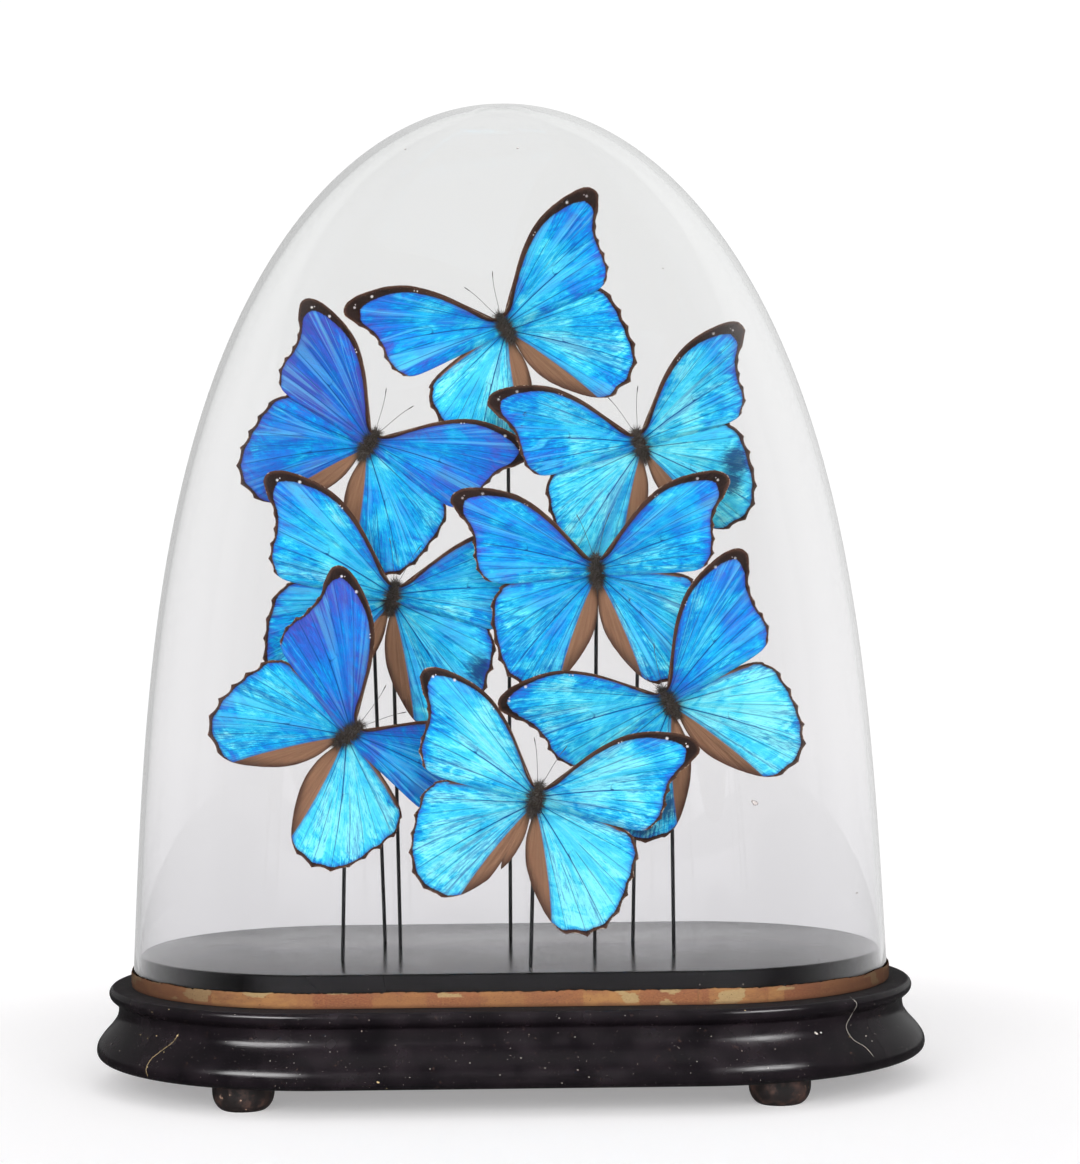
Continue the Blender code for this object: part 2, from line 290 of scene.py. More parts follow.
def tornPaper():
    # brown paper pasted round the glass in short lengths; its face has come away in places, most of
    # all along the top, and leaves tan fibre
    made, tree, shader = startMaterial("tornPaper", Roughness=0.82, Specular_IOR_Level=0.25)
    strip = addNode(tree, "ShaderNodeUVMap", uv_map="strip").outputs[0]
    up = addNode(tree, "ShaderNodeSeparateXYZ", {0: strip}).outputs[1]
    fibre = noiseAt(tree, stretched(tree, strip, (90, 22, 1)), 1.0, 5, 0.6)
    # ragged rectangles: pasted lengths, and the pieces of their face that have come away
    shake = addNode(tree, "ShaderNodeTexNoise", {"Vector": stretched(tree, strip, (60, 14, 1)), "Scale": 1.0}).outputs[1]
    shake = addNode(tree, "ShaderNodeVectorMath", {0: shake, 1: (0.5, 0.5, 0.5)}, operation="SUBTRACT").outputs[0]

    def patches(scale, raggedness, shift):
        shaken = addNode(tree, "ShaderNodeVectorMath", {0: shake, "Scale": raggedness}, operation="SCALE").outputs[0]
        place = addNode(tree, "ShaderNodeVectorMath", {0: stretched(tree, strip, scale, shift=shift), 1: shaken},
                        operation="ADD").outputs[0]
        cells = addNode(tree, "ShaderNodeTexVoronoi", {"Vector": place, "Scale": 1.0}, voronoi_dimensions="2D",
                        distance="CHEBYCHEV")
        return addNode(tree, "ShaderNodeSeparateColor", {0: cells.outputs["Color"]}).outputs

    lengths = patches((4.5, 0.0, 1), 0.12, (0, 0.5, 0))
    pieces = patches((9.0, 1.6, 1), 0.3, (2.3, 0.2, 0))
    stain = noiseAt(tree, stretched(tree, strip, (9, 2.0, 1), shift=(3, 1, 0)), 1.0, 5, 0.65)
    colour = addNode(tree, "ShaderNodeValToRGB", {0: lengths[0]},
                     stops=[(0.0, "#5E3422"), (0.35, "#653D26"), (0.7, "#6C482A"), (1.0, "#785632")]).outputs[0]
    colour = mixColour(tree, step(tree, stain, 0.35, 0.75), colour, hexColour("#5A3624"))
    colour = mixColour(tree, mathNode(tree, "MULTIPLY", step(tree, fibre, 0.42, 0.7), 0.45), colour, hexColour("#7E5A34"))
    torn = step(tree, mathNode(tree, "ADD", pieces[1], mathNode(tree, "MULTIPLY", mathNode(tree, "SUBTRACT", up, 0.4), 0.35)),
                0.8, 0.83)
    colour = mixColour(tree, mathNode(tree, "MULTIPLY", torn, 0.85), colour,
                       mixColour(tree, fibre, hexColour("#5E4E34"), hexColour("#8E7A56")))
    specks = step(tree, noiseAt(tree, stretched(tree, strip, (110, 14, 1)), 1.0, 1), 0.69, 0.74)
    colour = mixColour(tree, specks, colour, hexColour("#2E1D14"))
    # painted shade: the strip darker along its bottom edge, where it meets the ledge
    foot = mathNode(tree, "SUBTRACT", 1.0, step(tree, up, 0.0, 0.22))
    colour = mixColour(tree, mathNode(tree, "MULTIPLY", foot, 0.6), colour, hexColour("#3A2216"))
    # painted shade: the strip darker round its curved left and right ends
    across = addNode(tree, "ShaderNodeSeparateXYZ", {0: addNode(tree, "ShaderNodeTexCoord").outputs["Object"]}).outputs[0]
    ends = step(tree, mathNode(tree, "ABSOLUTE", across), 0.1, 0.17)
    colour = mixColour(tree, mathNode(tree, "MULTIPLY", ends, 0.7), colour, hexColour("#3C2418"))
    tree.links.new(colour, shader.inputs["Base Color"])
    relief = mathNode(tree, "SUBTRACT", mathNode(tree, "MULTIPLY", fibre, 0.4), torn)
    bumpTo(tree, shader, relief, 0.0002)
    return made


def lacqueredWire():
    # drawn iron wire dipped in black lacquer, with a few dull rubbed patches
    made, tree, shader = startMaterial("lacqueredWire", IOR=1.5)
    place = addNode(tree, "ShaderNodeTexCoord").outputs["Object"]
    rub = noiseAt(tree, stretched(tree, place, (500, 500, 90)), 1.0, 3)
    colour = mixColour(tree, rub, hexColour("#0E0E10"), hexColour("#26262A"))
    tree.links.new(colour, shader.inputs["Base Color"])
    rough = addNode(tree, "ShaderNodeMapRange", {0: rub, 1: 0.3, 2: 0.7, 3: 0.3, 4: 0.5}).outputs[0]
    tree.links.new(rough, shader.inputs["Roughness"])
    return made


def bareWood():
    # pale ochre wood and old glue in the cracks and chips of the black polish
    made, tree, shader = startMaterial("bareWood", Roughness=0.8)
    place = addNode(tree, "ShaderNodeTexCoord").outputs["Object"]
    colour = mixColour(tree, noiseAt(tree, place, 900.0, 3), hexColour("#6E5633"), hexColour("#CDB98A"))
    tree.links.new(colour, shader.inputs["Base Color"])
    return made


def paleDust():
    # lint and grit that has settled on the polish
    made, tree, shader = startMaterial("paleDust", Roughness=0.9)
    place = addNode(tree, "ShaderNodeTexCoord").outputs["Object"]
    colour = mixColour(tree, noiseAt(tree, place, 700.0, 3), hexColour("#6A655F"), hexColour("#C9C3BA"))
    tree.links.new(colour, shader.inputs["Base Color"])
    return made


def greyLint():
    # fluff on the glass
    made, tree, shader = startMaterial("greyLint", Roughness=0.95)
    place = addNode(tree, "ShaderNodeTexCoord").outputs["Object"]
    colour = mixColour(tree, noiseAt(tree, place, 1500.0, 3), hexColour("#77716F"), hexColour("#A8A2A0"))
    tree.links.new(colour, shader.inputs["Base Color"])
    return made


wingMarks = {
    "dots": [(50.2, 46.0, 0.8), (60.2, 45.1, 0.7), (59.2, 46.2, 0.35), (29.4, 37.7, 0.45), (30.6, 38.6, 0.35)],
    "ocelliFore": [(45.0, 30.5, 2.6), (46.5, 20.0, 2.3), (47.0, 8.5, 2.8)],
    "ocelliHind": [(37.0, -9.0, 3.4), (39.5, -21.5, 2.9), (37.0, -33.0, 3.2), (27.0, -42.0, 2.4)],
    "hindShift": 200.0,         # the hindwing's place in the plane map, so that marks don't repeat on it
}


def nearestMark(tree, plane, marks):
    # distance to the nearest mark in shares of that mark's radius
    nearest = 100.0
    for x, z, radius in marks:
        away = addNode(tree, "ShaderNodeVectorMath", {0: plane, 1: (x, z, 0)}, operation="DISTANCE")
        share = mathNode(tree, "DIVIDE", away.outputs["Value"], radius)
        nearest = mathNode(tree, "MINIMUM", share, nearest)
    return nearest


def wingFields(tree):
    # what the wing meshes carry: mm to the edge, width of the dark rim, mm to a vein, mm into the
    # brown inner margin, mm into a worn patch, patches of painted shade, and the hue each wing shows at its tilt, a
    # painted sheen
    fields = {name: addNode(tree, "ShaderNodeAttribute", attribute_name=name).outputs["Fac"]
              for name in ("edge", "rim", "vein", "ink", "brown", "worn", "paintedShadePatch", "sheenTone", "violet", "seed")}
    fan = addNode(tree, "ShaderNodeUVMap", uv_map="fan").outputs[0]
    parts = addNode(tree, "ShaderNodeSeparateXYZ", {0: fan})
    fields["across"] = parts.outputs[0]
    fields["along"] = parts.outputs[1]
    fields["fan"] = fan
    plane = addNode(tree, "ShaderNodeUVMap", uv_map="plane").outputs[0]
    fields["plane"] = addNode(tree, "ShaderNodeVectorMath", {0: plane, "Scale": 100.0},
                              operation="SCALE").outputs[0]
    return fields


def morphoScales():
    # blue structural scales on a brown membrane: a silky lustre that breaks into streaks along the pleats,
    # partly painted into the colour as highlights and shade, fine dark veins, black brown rim with white dots, and a
    # brown inner margin
    made, tree, shader = startMaterial("morphoScales", IOR=1.45, Specular_IOR_Level=0.06)
    at = wingFields(tree)

    def fanNoise(across, along, detail, rough, distortion, shift=0.0):
        # noise drawn out along the wing's rays: cells across its width and along its length
        place = addNode(tree, "ShaderNodeCombineXYZ", {
            0: mathNode(tree, "MULTIPLY", at["across"], across), 1: mathNode(tree, "MULTIPLY", at["along"], along),
            2: mathNode(tree, "ADD", at["seed"], shift)}).outputs[0]
        return noiseAt(tree, place, 1.0, detail, rough, distortion)

    fold = fanNoise(9.0, 0.6, 2, 0.5, 0.8)
    streak = fanNoise(40.0, 1.0, 3, 0.6, 0.6, 20.0)
    fine = fanNoise(230.0, 12.0, 3, 0.7, 0.3, 40.0)
    crease = fanNoise(12.0, 0.3, 1, 0.5, 0.5, 60.0)
    seedAt = addNode(tree, "ShaderNodeCombineXYZ", {2: at["seed"]}).outputs[0]
    spot = addNode(tree, "ShaderNodeVectorMath", {0: at["plane"], 1: seedAt}, operation="ADD").outputs[0]
    cloud = noiseAt(tree, spot, 0.045, 2, 0.5, 0.4)
    crinkle = noiseAt(tree, stretched(tree, spot, (0.12, 0.3, 1)), 1.0, 3, 0.6, 0.8)
    grit = noiseAt(tree, at["plane"], 3.2, 2, 0.7)

    def off(noiseValue, share):
        return mathNode(tree, "MULTIPLY", mathNode(tree, "SUBTRACT", noiseValue, 0.5), share)

    def lineAt(noiseValue, level, half):
        # a thin line where the noise passes this level
        gap = mathNode(tree, "ABSOLUTE", mathNode(tree, "SUBTRACT", noiseValue, level))
        return mathNode(tree, "SUBTRACT", 1.0, step(tree, gap, half * 0.3, half))

    # hue: turquoise through azure to violet blue, crumpled towards the outer margin; each wing's own setting is the hue
    # it shows at its tilt, a painted sheen
    nearMargin = mathNode(tree, "SUBTRACT", 1.0, step(tree, at["edge"], 1.5, 13.0))
    rays = addNode(tree, "ShaderNodeMapRange", {0: at["sheenTone"], 1: 0.3, 2: 0.8, 3: 1.0, 4: 0.5}).outputs[0]
    hue = mathNode(tree, "ADD", at["sheenTone"], mathNode(tree, "MULTIPLY", at["violet"], 0.44))
    for part in (off(cloud, 1.0), mathNode(tree, "MULTIPLY", rays, off(fold, 0.85)),
                 mathNode(tree, "MULTIPLY", rays, off(streak, 0.85)), off(fine, 0.75), off(grit, 0.6),
                 off(crinkle, 0.45), mathNode(tree, "MULTIPLY", off(crinkle, 1.0), nearMargin)):
        hue = mathNode(tree, "ADD", hue, part)
    blue = addNode(tree, "ShaderNodeValToRGB", {0: hue},
                   stops=[(0.0, "#84EAF2"), (0.17, "#44D0EB"), (0.36, "#0AAAE0"), (0.56, "#107EDA"),
                          (0.76, "#3066CE"), (1.0, "#4C50B2")]).outputs[0]
    # painted highlights where the pleats and streaks would catch the light, and painted shade between them
    shine = mathNode(tree, "ADD", off(fold, 1.2), off(streak, 1.3))
    gleam = mathNode(tree, "MULTIPLY", mathNode(tree, "MULTIPLY", step(tree, shine, -0.02, 0.3), 0.5), rays)
    blue = mixColour(tree, gleam, blue, hexColour("#5CDCF4"))
    shade = mathNode(tree, "ADD", off(fine, 1.2), mathNode(tree, "MULTIPLY", shine, -0.85))
    blue = mixColour(tree, mathNode(tree, "MULTIPLY", step(tree, shade, 0.02, 0.3), 0.6), blue, hexColour("#1459AE"))
    # folds: a line of painted shade with a painted highlight on its flank
    paintedFoldLight = mathNode(tree, "MULTIPLY", step(tree, at["along"], 0.12, 0.4), 0.42)
    blue = mixColour(tree, mathNode(tree, "MULTIPLY", lineAt(crease, 0.522, 0.02), mathNode(tree, "MULTIPLY", paintedFoldLight, 0.5)), blue, hexColour("#7DEBFF"))
    blue = mixColour(tree, mathNode(tree, "MULTIPLY", lineAt(crease, 0.5, 0.009), paintedFoldLight), blue, hexColour("#154FA2"))
    # fine veins
    line = mathNode(tree, "SUBTRACT", 1.0, step(tree, at["vein"], 0.1, 0.34))
    veins = mathNode(tree, "MINIMUM", mathNode(tree, "MULTIPLY", mathNode(tree, "MULTIPLY", line, at["ink"]), 1.6), 1.0)
    blue = mixColour(tree, veins, blue, hexColour("#0E2C54"))
    # painted shade along each side of a vein
    paintedShadeByVein = mathNode(tree, "MULTIPLY", mathNode(tree, "SUBTRACT", 1.0, step(tree, at["vein"], 0.1, 0.9)), at["ink"])
    blue = mixColour(tree, mathNode(tree, "MULTIPLY", paintedShadeByVein, 0.45), blue, hexColour("#1A66BC"))
    # painted shade: dark navy patches where another specimen's wing lies in front, and the brown hair that lies over
    # the root
    mottle = mathNode(tree, "ADD", off(crinkle, 1.2), mathNode(tree, "ADD", off(fine, 1.0), off(grit, 1.0)))
    paintedShadePatch = step(tree, mathNode(tree, "ADD", at["paintedShadePatch"], mottle), 0.1, 1.0)
    blue = mixColour(tree, mathNode(tree, "MULTIPLY", paintedShadePatch, 0.85), blue, hexColour("#1D2A5E"))
    root = mathNode(tree, "SUBTRACT", 1.0, step(tree, at["along"], 0.02, 0.14))
    blue = mixColour(tree, mathNode(tree, "MULTIPLY", root, 0.3), blue, hexColour("#14698F"))
    hair = mathNode(tree, "SUBTRACT", mathNode(tree, "ADD", off(fine, 1.5), off(streak, 1.0)),
                    mathNode(tree, "MULTIPLY", at["along"], 3.5))
    blue = mixColour(tree, mathNode(tree, "MULTIPLY", step(tree, hair, -0.16, 0.06), 0.8), blue, hexColour("#382C27"))
    # brown field of the inner margin, darker at its edges, its border dusted with blue
    brown = mixColour(tree, streak, hexColour("#6E4E3B"), hexColour("#A07A5E"))
    brown = mixColour(tree, mathNode(tree, "MULTIPLY", fine, 0.4), brown, hexColour("#574035"))
    tip = mathNode(tree, "MULTIPLY", step(tree, at["along"], 0.7, 1.0), 0.75)
    brown = mixColour(tree, tip, brown, hexColour("#452F28"))
    selvage = mathNode(tree, "MULTIPLY", mathNode(tree, "SUBTRACT", 1.0, step(tree, at["edge"], 0.1, 2.2)), 0.6)
    brown = mixColour(tree, selvage, brown, hexColour("#4A332A"))
    wobble = off(grit, 0.9)
    intoBrown = mathNode(tree, "ADD", at["brown"], wobble)
    inBrown = step(tree, intoBrown, -0.3, 0.3)
    dusk = step(tree, mathNode(tree, "ADD", intoBrown, off(fine, 2.5)), -2.2, 0.4)
    blue = mixColour(tree, mathNode(tree, "MULTIPLY", dusk, 0.7), blue, hexColour("#34509C"))
    # dark rim and its ragged violet border
    into = mathNode(tree, "SUBTRACT", at["rim"], at["edge"])
    ragged = mathNode(tree, "ADD", off(fine, 2.6), wobble)
    border = step(tree, mathNode(tree, "ADD", into, ragged), -1.8, 0.3)
    blue = mixColour(tree, mathNode(tree, "MULTIPLY", border, 0.6), blue, hexColour("#343FA0"))
    rimColour = mixColour(tree, grit, hexColour("#171010"), hexColour("#362620"))
    costa = mathNode(tree, "SUBTRACT", 1.0, step(tree, at["across"], 0.12, 0.34))
    warm = mathNode(tree, "MULTIPLY", mathNode(tree, "SUBTRACT", 1.0, step(tree, at["edge"], 0.2, 1.8)), 0.4)
    warm = mathNode(tree, "MAXIMUM", warm, mathNode(tree, "MULTIPLY", costa, 0.6))
    rimColour = mixColour(tree, warm, rimColour, hexColour("#6E4A3A"))
    colour = mixColour(tree, inBrown, blue, brown)
    inRim = step(tree, mathNode(tree, "ADD", into, mathNode(tree, "MULTIPLY", ragged, 0.35)), -0.2, 0.25)
    colour = mixColour(tree, inRim, colour, rimColour)
    # pale fringe that is left between the vein ends
    tufts = step(tree, fanNoise(120.0, 1.0, 2, 0.5, 0.0, 80.0), 0.56, 0.62)
    fringe = mathNode(tree, "MULTIPLY", mathNode(tree, "LESS_THAN", at["edge"], 0.3),
                      mathNode(tree, "MULTIPLY", tufts, inRim))
    colour = mixColour(tree, mathNode(tree, "MULTIPLY", fringe, 0.8), colour, hexColour("#B7A48E"))
    # rubbed places without scales, and the white dots near the tip
    inWorn = step(tree, mathNode(tree, "ADD", at["worn"], mathNode(tree, "ADD", off(grit, 3.0), off(fine, 2.5))),
                  0.0, 0.5)
    colour = mixColour(tree, inWorn, colour, mixColour(tree, fine, hexColour("#1C1F36"), hexColour("#4E5878")))
    # white dots, which fade from specimen to specimen
    dotShare = mathNode(tree, "ADD", nearestMark(tree, at["plane"], wingMarks["dots"]), off(grit, 1.8))
    faded = addNode(tree, "ShaderNodeTexWhiteNoise", {"W": at["seed"]}, noise_dimensions="1D").outputs[0]
    dots = mathNode(tree, "SUBTRACT", 1.0, step(tree, dotShare, 0.3, 1.15))
    dots = mathNode(tree, "MULTIPLY", dots, step(tree, faded, -0.3, 0.8))
    colour = mixColour(tree, dots, colour, hexColour("#DEDAD8"))
    tree.links.new(colour, shader.inputs["Base Color"])
    dull = mathNode(tree, "MAXIMUM", mathNode(tree, "MAXIMUM", inBrown, inRim), inWorn)
    metallic = mathNode(tree, "MULTIPLY", mathNode(tree, "SUBTRACT", 1.0, dull), 0.3)
    tree.links.new(metallic, shader.inputs["Metallic"])
    rough = mathNode(tree, "ADD", 0.36, mathNode(tree, "MULTIPLY", dull, 0.24))
    tree.links.new(rough, shader.inputs["Roughness"])
    relief = mathNode(tree, "ADD", mathNode(tree, "MULTIPLY", streak, 1.2), mathNode(tree, "MULTIPLY", fine, 0.6))
    relief = mathNode(tree, "ADD", relief, mathNode(tree, "MULTIPLY", fold, 2.5))
    bumpTo(tree, shader, relief, 0.0006, 0.8)
    return made


def morphoUnderside():
    # the hidden face: brown scales with pale wavy lines and ringed eyespots
    made, tree, shader = startMaterial("morphoUnderside", Roughness=0.62, Specular_IOR_Level=0.3)
    at = wingFields(tree)
    cloud = noiseAt(tree, at["plane"], 0.09, 4)
    grit = noiseAt(tree, at["plane"], 1.4, 3, 0.7)
    colour = mixColour(tree, cloud, hexColour("#4E3A2E"), hexColour("#84664F"))
    colour = mixColour(tree, mathNode(tree, "MULTIPLY", grit, 0.4), colour, hexColour("#A58A6C"))
    wave = mathNode(tree, "ADD", at["edge"], mathNode(tree, "MULTIPLY", cloud, 5.0))
    for distance, width, strength in ((5.2, 0.35, 0.8), (7.6, 0.55, 0.55), (20.0, 0.8, 0.6)):
        off = mathNode(tree, "ABSOLUTE", mathNode(tree, "SUBTRACT", wave, distance))
        line = mathNode(tree, "MULTIPLY", mathNode(tree, "SUBTRACT", 1.0, step(tree, off, width, width * 2)), strength)
        colour = mixColour(tree, line, colour, hexColour("#C9B692"))
    veins = mathNode(tree, "SUBTRACT", 1.0, step(tree, at["vein"], 0.1, 0.35))
    colour = mixColour(tree, veins, colour, hexColour("#33251D"))
    shift = wingMarks["hindShift"]
    marks = wingMarks["ocelliFore"] + [(x + shift, z, r) for x, z, r in wingMarks["ocelliHind"]]
    nearest = nearestMark(tree, at["plane"], marks)
    eye = addNode(tree, "ShaderNodeValToRGB", {0: mathNode(tree, "MULTIPLY", nearest, 0.7)},
                  stops=[(0.0, "#E8E2D2"), (0.1, "#E8E2D2"), (0.14, "#17120F"), (0.46, "#1D1612"),
                         (0.5, "#C6A04C"), (0.6, "#B88F42"), (0.65, "#2C2019"), (0.7, "#3A2A20")]).outputs[0]
    colour = mixColour(tree, mathNode(tree, "SUBTRACT", 1.0, step(tree, nearest, 0.98, 1.06)), colour, eye)
    tree.links.new(colour, shader.inputs["Base Color"])
    bumpTo(tree, shader, mathNode(tree, "ADD", grit, veins), 0.0002)
    return made


def insectFur():
    # fine dark brown hair on the thorax and abdomen, dull with a slight sheen
    made, tree, shader = startMaterial("insectFur", Roughness=0.7, Sheen_Weight=0.3, Sheen_Roughness=0.4)
    place = addNode(tree, "ShaderNodeTexCoord").outputs["Object"]
    colour = mixColour(tree, noiseAt(tree, place, 1200.0, 2), hexColour("#1B1510"), hexColour("#54463A"))
    tree.links.new(colour, shader.inputs["Base Color"])
    return made


def darkChitin():
    # hard shell of the head, legs and feelers
    made, tree, shader = startMaterial("darkChitin", Roughness=0.38, IOR=1.55)
    place = addNode(tree, "ShaderNodeTexCoord").outputs["Object"]
    colour = mixColour(tree, noiseAt(tree, place, 800.0, 2), hexColour("#1A1411"), hexColour("#3D3129"))
    tree.links.new(colour, shader.inputs["Base Color"])
    return made


def studioFloor():
    # seamless white paper; towards its rim it glows as brightly as the backdrop, so that no edge shows,
    # and what mirrors it sees it dim, like the rest of the room's dark half
    made, tree, shader = startMaterial("studioFloor", Roughness=0.9, Specular_IOR_Level=0.1,
                                       Emission_Color=(1, 0.985, 0.99, 1))
    place = addNode(tree, "ShaderNodeTexCoord").outputs["Object"]
    away = addNode(tree, "ShaderNodeVectorMath", {0: place}, operation="LENGTH").outputs["Value"]
    rim = step(tree, away, 0.28, 0.5)
    glossy = mathNode(tree, "GREATER_THAN", addNode(tree, "ShaderNodeLightPath").outputs["Glossy Depth"], 0.5)
    unlit = mathNode(tree, "MAXIMUM", rim, glossy)
    paper = mixColour(tree, noiseAt(tree, place, 3.0, 2), hexColour("#E2E1E2"), hexColour("#E5E4E5"))
    tree.links.new(mixColour(tree, unlit, paper, (0, 0, 0, 1)), shader.inputs["Base Color"])
    # painted light: the paper glows a little all over, which lightens the shadow under the base
    glow = addNode(tree, "ShaderNodeMapRange", {0: rim, 3: 0.31, 4: 1.06}).outputs[0]
    glow = addNode(tree, "ShaderNodeMix", {0: glossy, 2: glow, 3: 0.3}).outputs[0]
    tree.links.new(glow, shader.inputs["Emission Strength"])
    return made


finish = {
    "ebony": ebonisedWood(), "board": polishedBoard(), "foot": wornFootWood(), "glass": blownGlass(),
    "paper": tornPaper(), "wire": lacqueredWire(), "bare": bareWood(), "dust": paleDust(), "lint": greyLint(),
    "scales": morphoScales(), "underside": morphoUnderside(), "fur": insectFur(),
    "chitin": darkChitin(), "floor": studioFloor(),
}
print("materials made:", len(finish))


# The photograph's view, and places on the model found by a pixel of the photograph

view = {"distance": 1.8, "height": 0.3008, "focalPixels": 3743.2, "imageWidth": 1080.0, "imageHeight": 1164.0,
        "sensor": 36.0, "down": 0.034, "right": 0.009, "roll": -0.0105}


def viewMatrix():
    turn = (Matrix.Rotation(-view["right"], 4, "Z") @ Matrix.Rotation(pi / 2 - view["down"], 4, "X")
            @ Matrix.Rotation(view["roll"], 4, "Z"))
    return Matrix.Translation((0, -view["distance"], view["height"])) @ turn


def surfacesOf(pieces):
    # one searchable surface of several pieces
    points, faces = [], []
    for piece in pieces:
        start = len(points)
        points += [v.co.copy() for v in piece.data.vertices]
        faces += [tuple(i + start for i in face.vertices) for face in piece.data.polygons]
    return BVHTree.FromPolygons(points, faces)


def seenAt(surface, x, y):
    # the place in mm, and the outward direction, that pixel x, y of the photograph shows
    matrix = viewMatrix()
    ahead = matrix.to_3x3() @ Vector(((x - view["imageWidth"] / 2) / view["focalPixels"],
                                      (view["imageHeight"] / 2 - y) / view["focalPixels"], -1.0))
    spot, normal, face, distance = surface.ray_cast(matrix.translation, ahead.normalized())
    if spot is None:
        return None
    return np.array(spot) / mm, np.array(normal if normal.dot(ahead) < 0 else -normal)


def flake(surface, x, y, size, seed):
    # a thin ragged flake on the surface at a pixel
    found = seenAt(surface, x, y)
    if found is None:
        return None
    spot, normal = found
    side = np.cross(normal, (0.2, 0.1, 0.97))
    side /= np.linalg.norm(side)
    other = np.cross(normal, side)
    ring = []
    for k in range(10):
        turn = 2 * pi * k / 10
        reach = size * (1 + 0.9 * noise.noise((cos(turn), sin(turn), seed * 3.1)))
        ring.append(spot + side * reach * cos(turn) * 1.3 + other * reach * sin(turn) * 0.8)
    ring = np.array(ring)
    top = spot + (ring - spot) * 0.7 + normal * 0.07
    verts = np.concatenate([ring - normal * 0.25, top])
    faces = gridFaces(2, 10, closed=True) + [tuple(range(10)), tuple(range(19, 9, -1))]
    return {"verts": verts, "faces": faces}


def hairline(surface, pixels, radius):
    # a crack that follows the surface through these pixels
    path = smoothCurve([(x, y, 0) for x, y in pixels], 6)
    found = [seenAt(surface, x, y) for x, y, _ in path]
    spots = np.array([spot + normal * radius * 0.2 for spot, normal in (f for f in found if f)])
    radii = radius * (0.75 + 0.5 * np.array([noise.noise((i * 0.7, radius * 9, 3)) for i in range(len(spots))]))
    return tubePart(spots, radii, 6)


# The base: every ring is a stadium, two half circles whose centres are 2 * centre apart

plan = {"centre": 86.0, "arcStep": 2.5, "straightStep": 6.0}

moulding = {
    # outer face from the ledge down to the underside: radius, height
    "profile": [(103.0, 48.2), (105.6, 47.7), (107.0, 45.7), (106.6, 43.3), (104.8, 41.4), (103.0, 40.1),
                (102.6, 37.2), (103.4, 33.4), (106.2, 29.2), (110.0, 25.0), (112.7, 21.0), (113.3, 17.4),
                (111.9, 14.7), (108.2, 13.0), (103.0, 12.5)],
    "inner": 92.7,
    "jointAngle": 39.0,
    "jointGap": 0.25,
}


def arcPoints(side, first, last):
    steps = max(2, round((last - first) / plan["arcStep"]))
    angles = np.radians(np.linspace(first, last, steps + 1))
    return np.stack([np.full(len(angles), side * plan["centre"]), np.cos(angles), np.sin(angles)], 1)


def straightPoints(side):
    steps = round(2 * plan["centre"] / plan["straightStep"])
    along = side * plan["centre"] * (1 - 2 * np.arange(1, steps) / steps)
    return np.stack([along, np.zeros(len(along)), np.full(len(along), float(side))], 1)


def wholePlan():
    return np.concatenate([arcPoints(1, -90, 90), straightPoints(1), arcPoints(-1, 90, 270), straightPoints(-1)])


def ringAt(points, radius, height):
    # centre x, then the outward direction, to places at this radius and height
    x = points[:, 0] + radius * points[:, 1]
    y = radius * points[:, 2]
    return np.stack([x, y, np.broadcast_to(height, len(points))], 1)


def closedSweep(rings, closedPath):
    # a solid from rings of equal length; the path closes on itself or gets end caps
    count = len(rings[0])
    verts = np.concatenate(rings)
    rows = len(rings)
    faces = []
    for r in range(rows):
        nextRow = (r + 1) % rows
        for c in range(count if closedPath else count - 1):
            d = (c + 1) % count
            faces.append((r * count + c, r * count + d, nextRow * count + d, nextRow * count + c))
    if not closedPath:
        faces.append(tuple(r * count for r in range(rows)))
        faces.append(tuple(r * count + count - 1 for r in reversed(range(rows))))
    return {"verts": verts, "faces": faces}


mouldingCurve = smoothCurve(moulding["profile"], 4)


def mouldingPiece(name, node, points):
    rings = [ringAt(points, moulding["inner"], moulding["profile"][0][1])]
    rings += [ringAt(points, radius, height) for radius, height in mouldingCurve]
    rings.append(ringAt(points, moulding["inner"], moulding["profile"][-1][1]))
    piece = joinParts(name, [closedSweep(rings, False)], [finish["ebony"]], sharp=40.0)
    dress(piece, "ebonised_wood", node)
    return piece


def baseMoulding():
    half = degrees(moulding["jointGap"] / 2 / moulding["profile"][0][0])
    end = moulding["jointAngle"] - half
    side = moulding["jointAngle"] + half
    back = np.concatenate([arcPoints(1, side, 90), straightPoints(1), arcPoints(-1, 90, 180 - side)])
    front = np.concatenate([arcPoints(-1, 180 + side, 270), straightPoints(-1), arcPoints(1, -90, -side)])
    return [mouldingPiece("mouldingFront", "moulding_front", front),
            mouldingPiece("mouldingBack", "moulding_back", back),
            mouldingPiece("mouldingLeftEnd", "moulding_left_end", arcPoints(-1, 180 - end, 180 + end)),
            mouldingPiece("mouldingRightEnd", "moulding_right_end", arcPoints(1, -end, end))]


mouldingPieces = baseMoulding()
print("base moulding made")


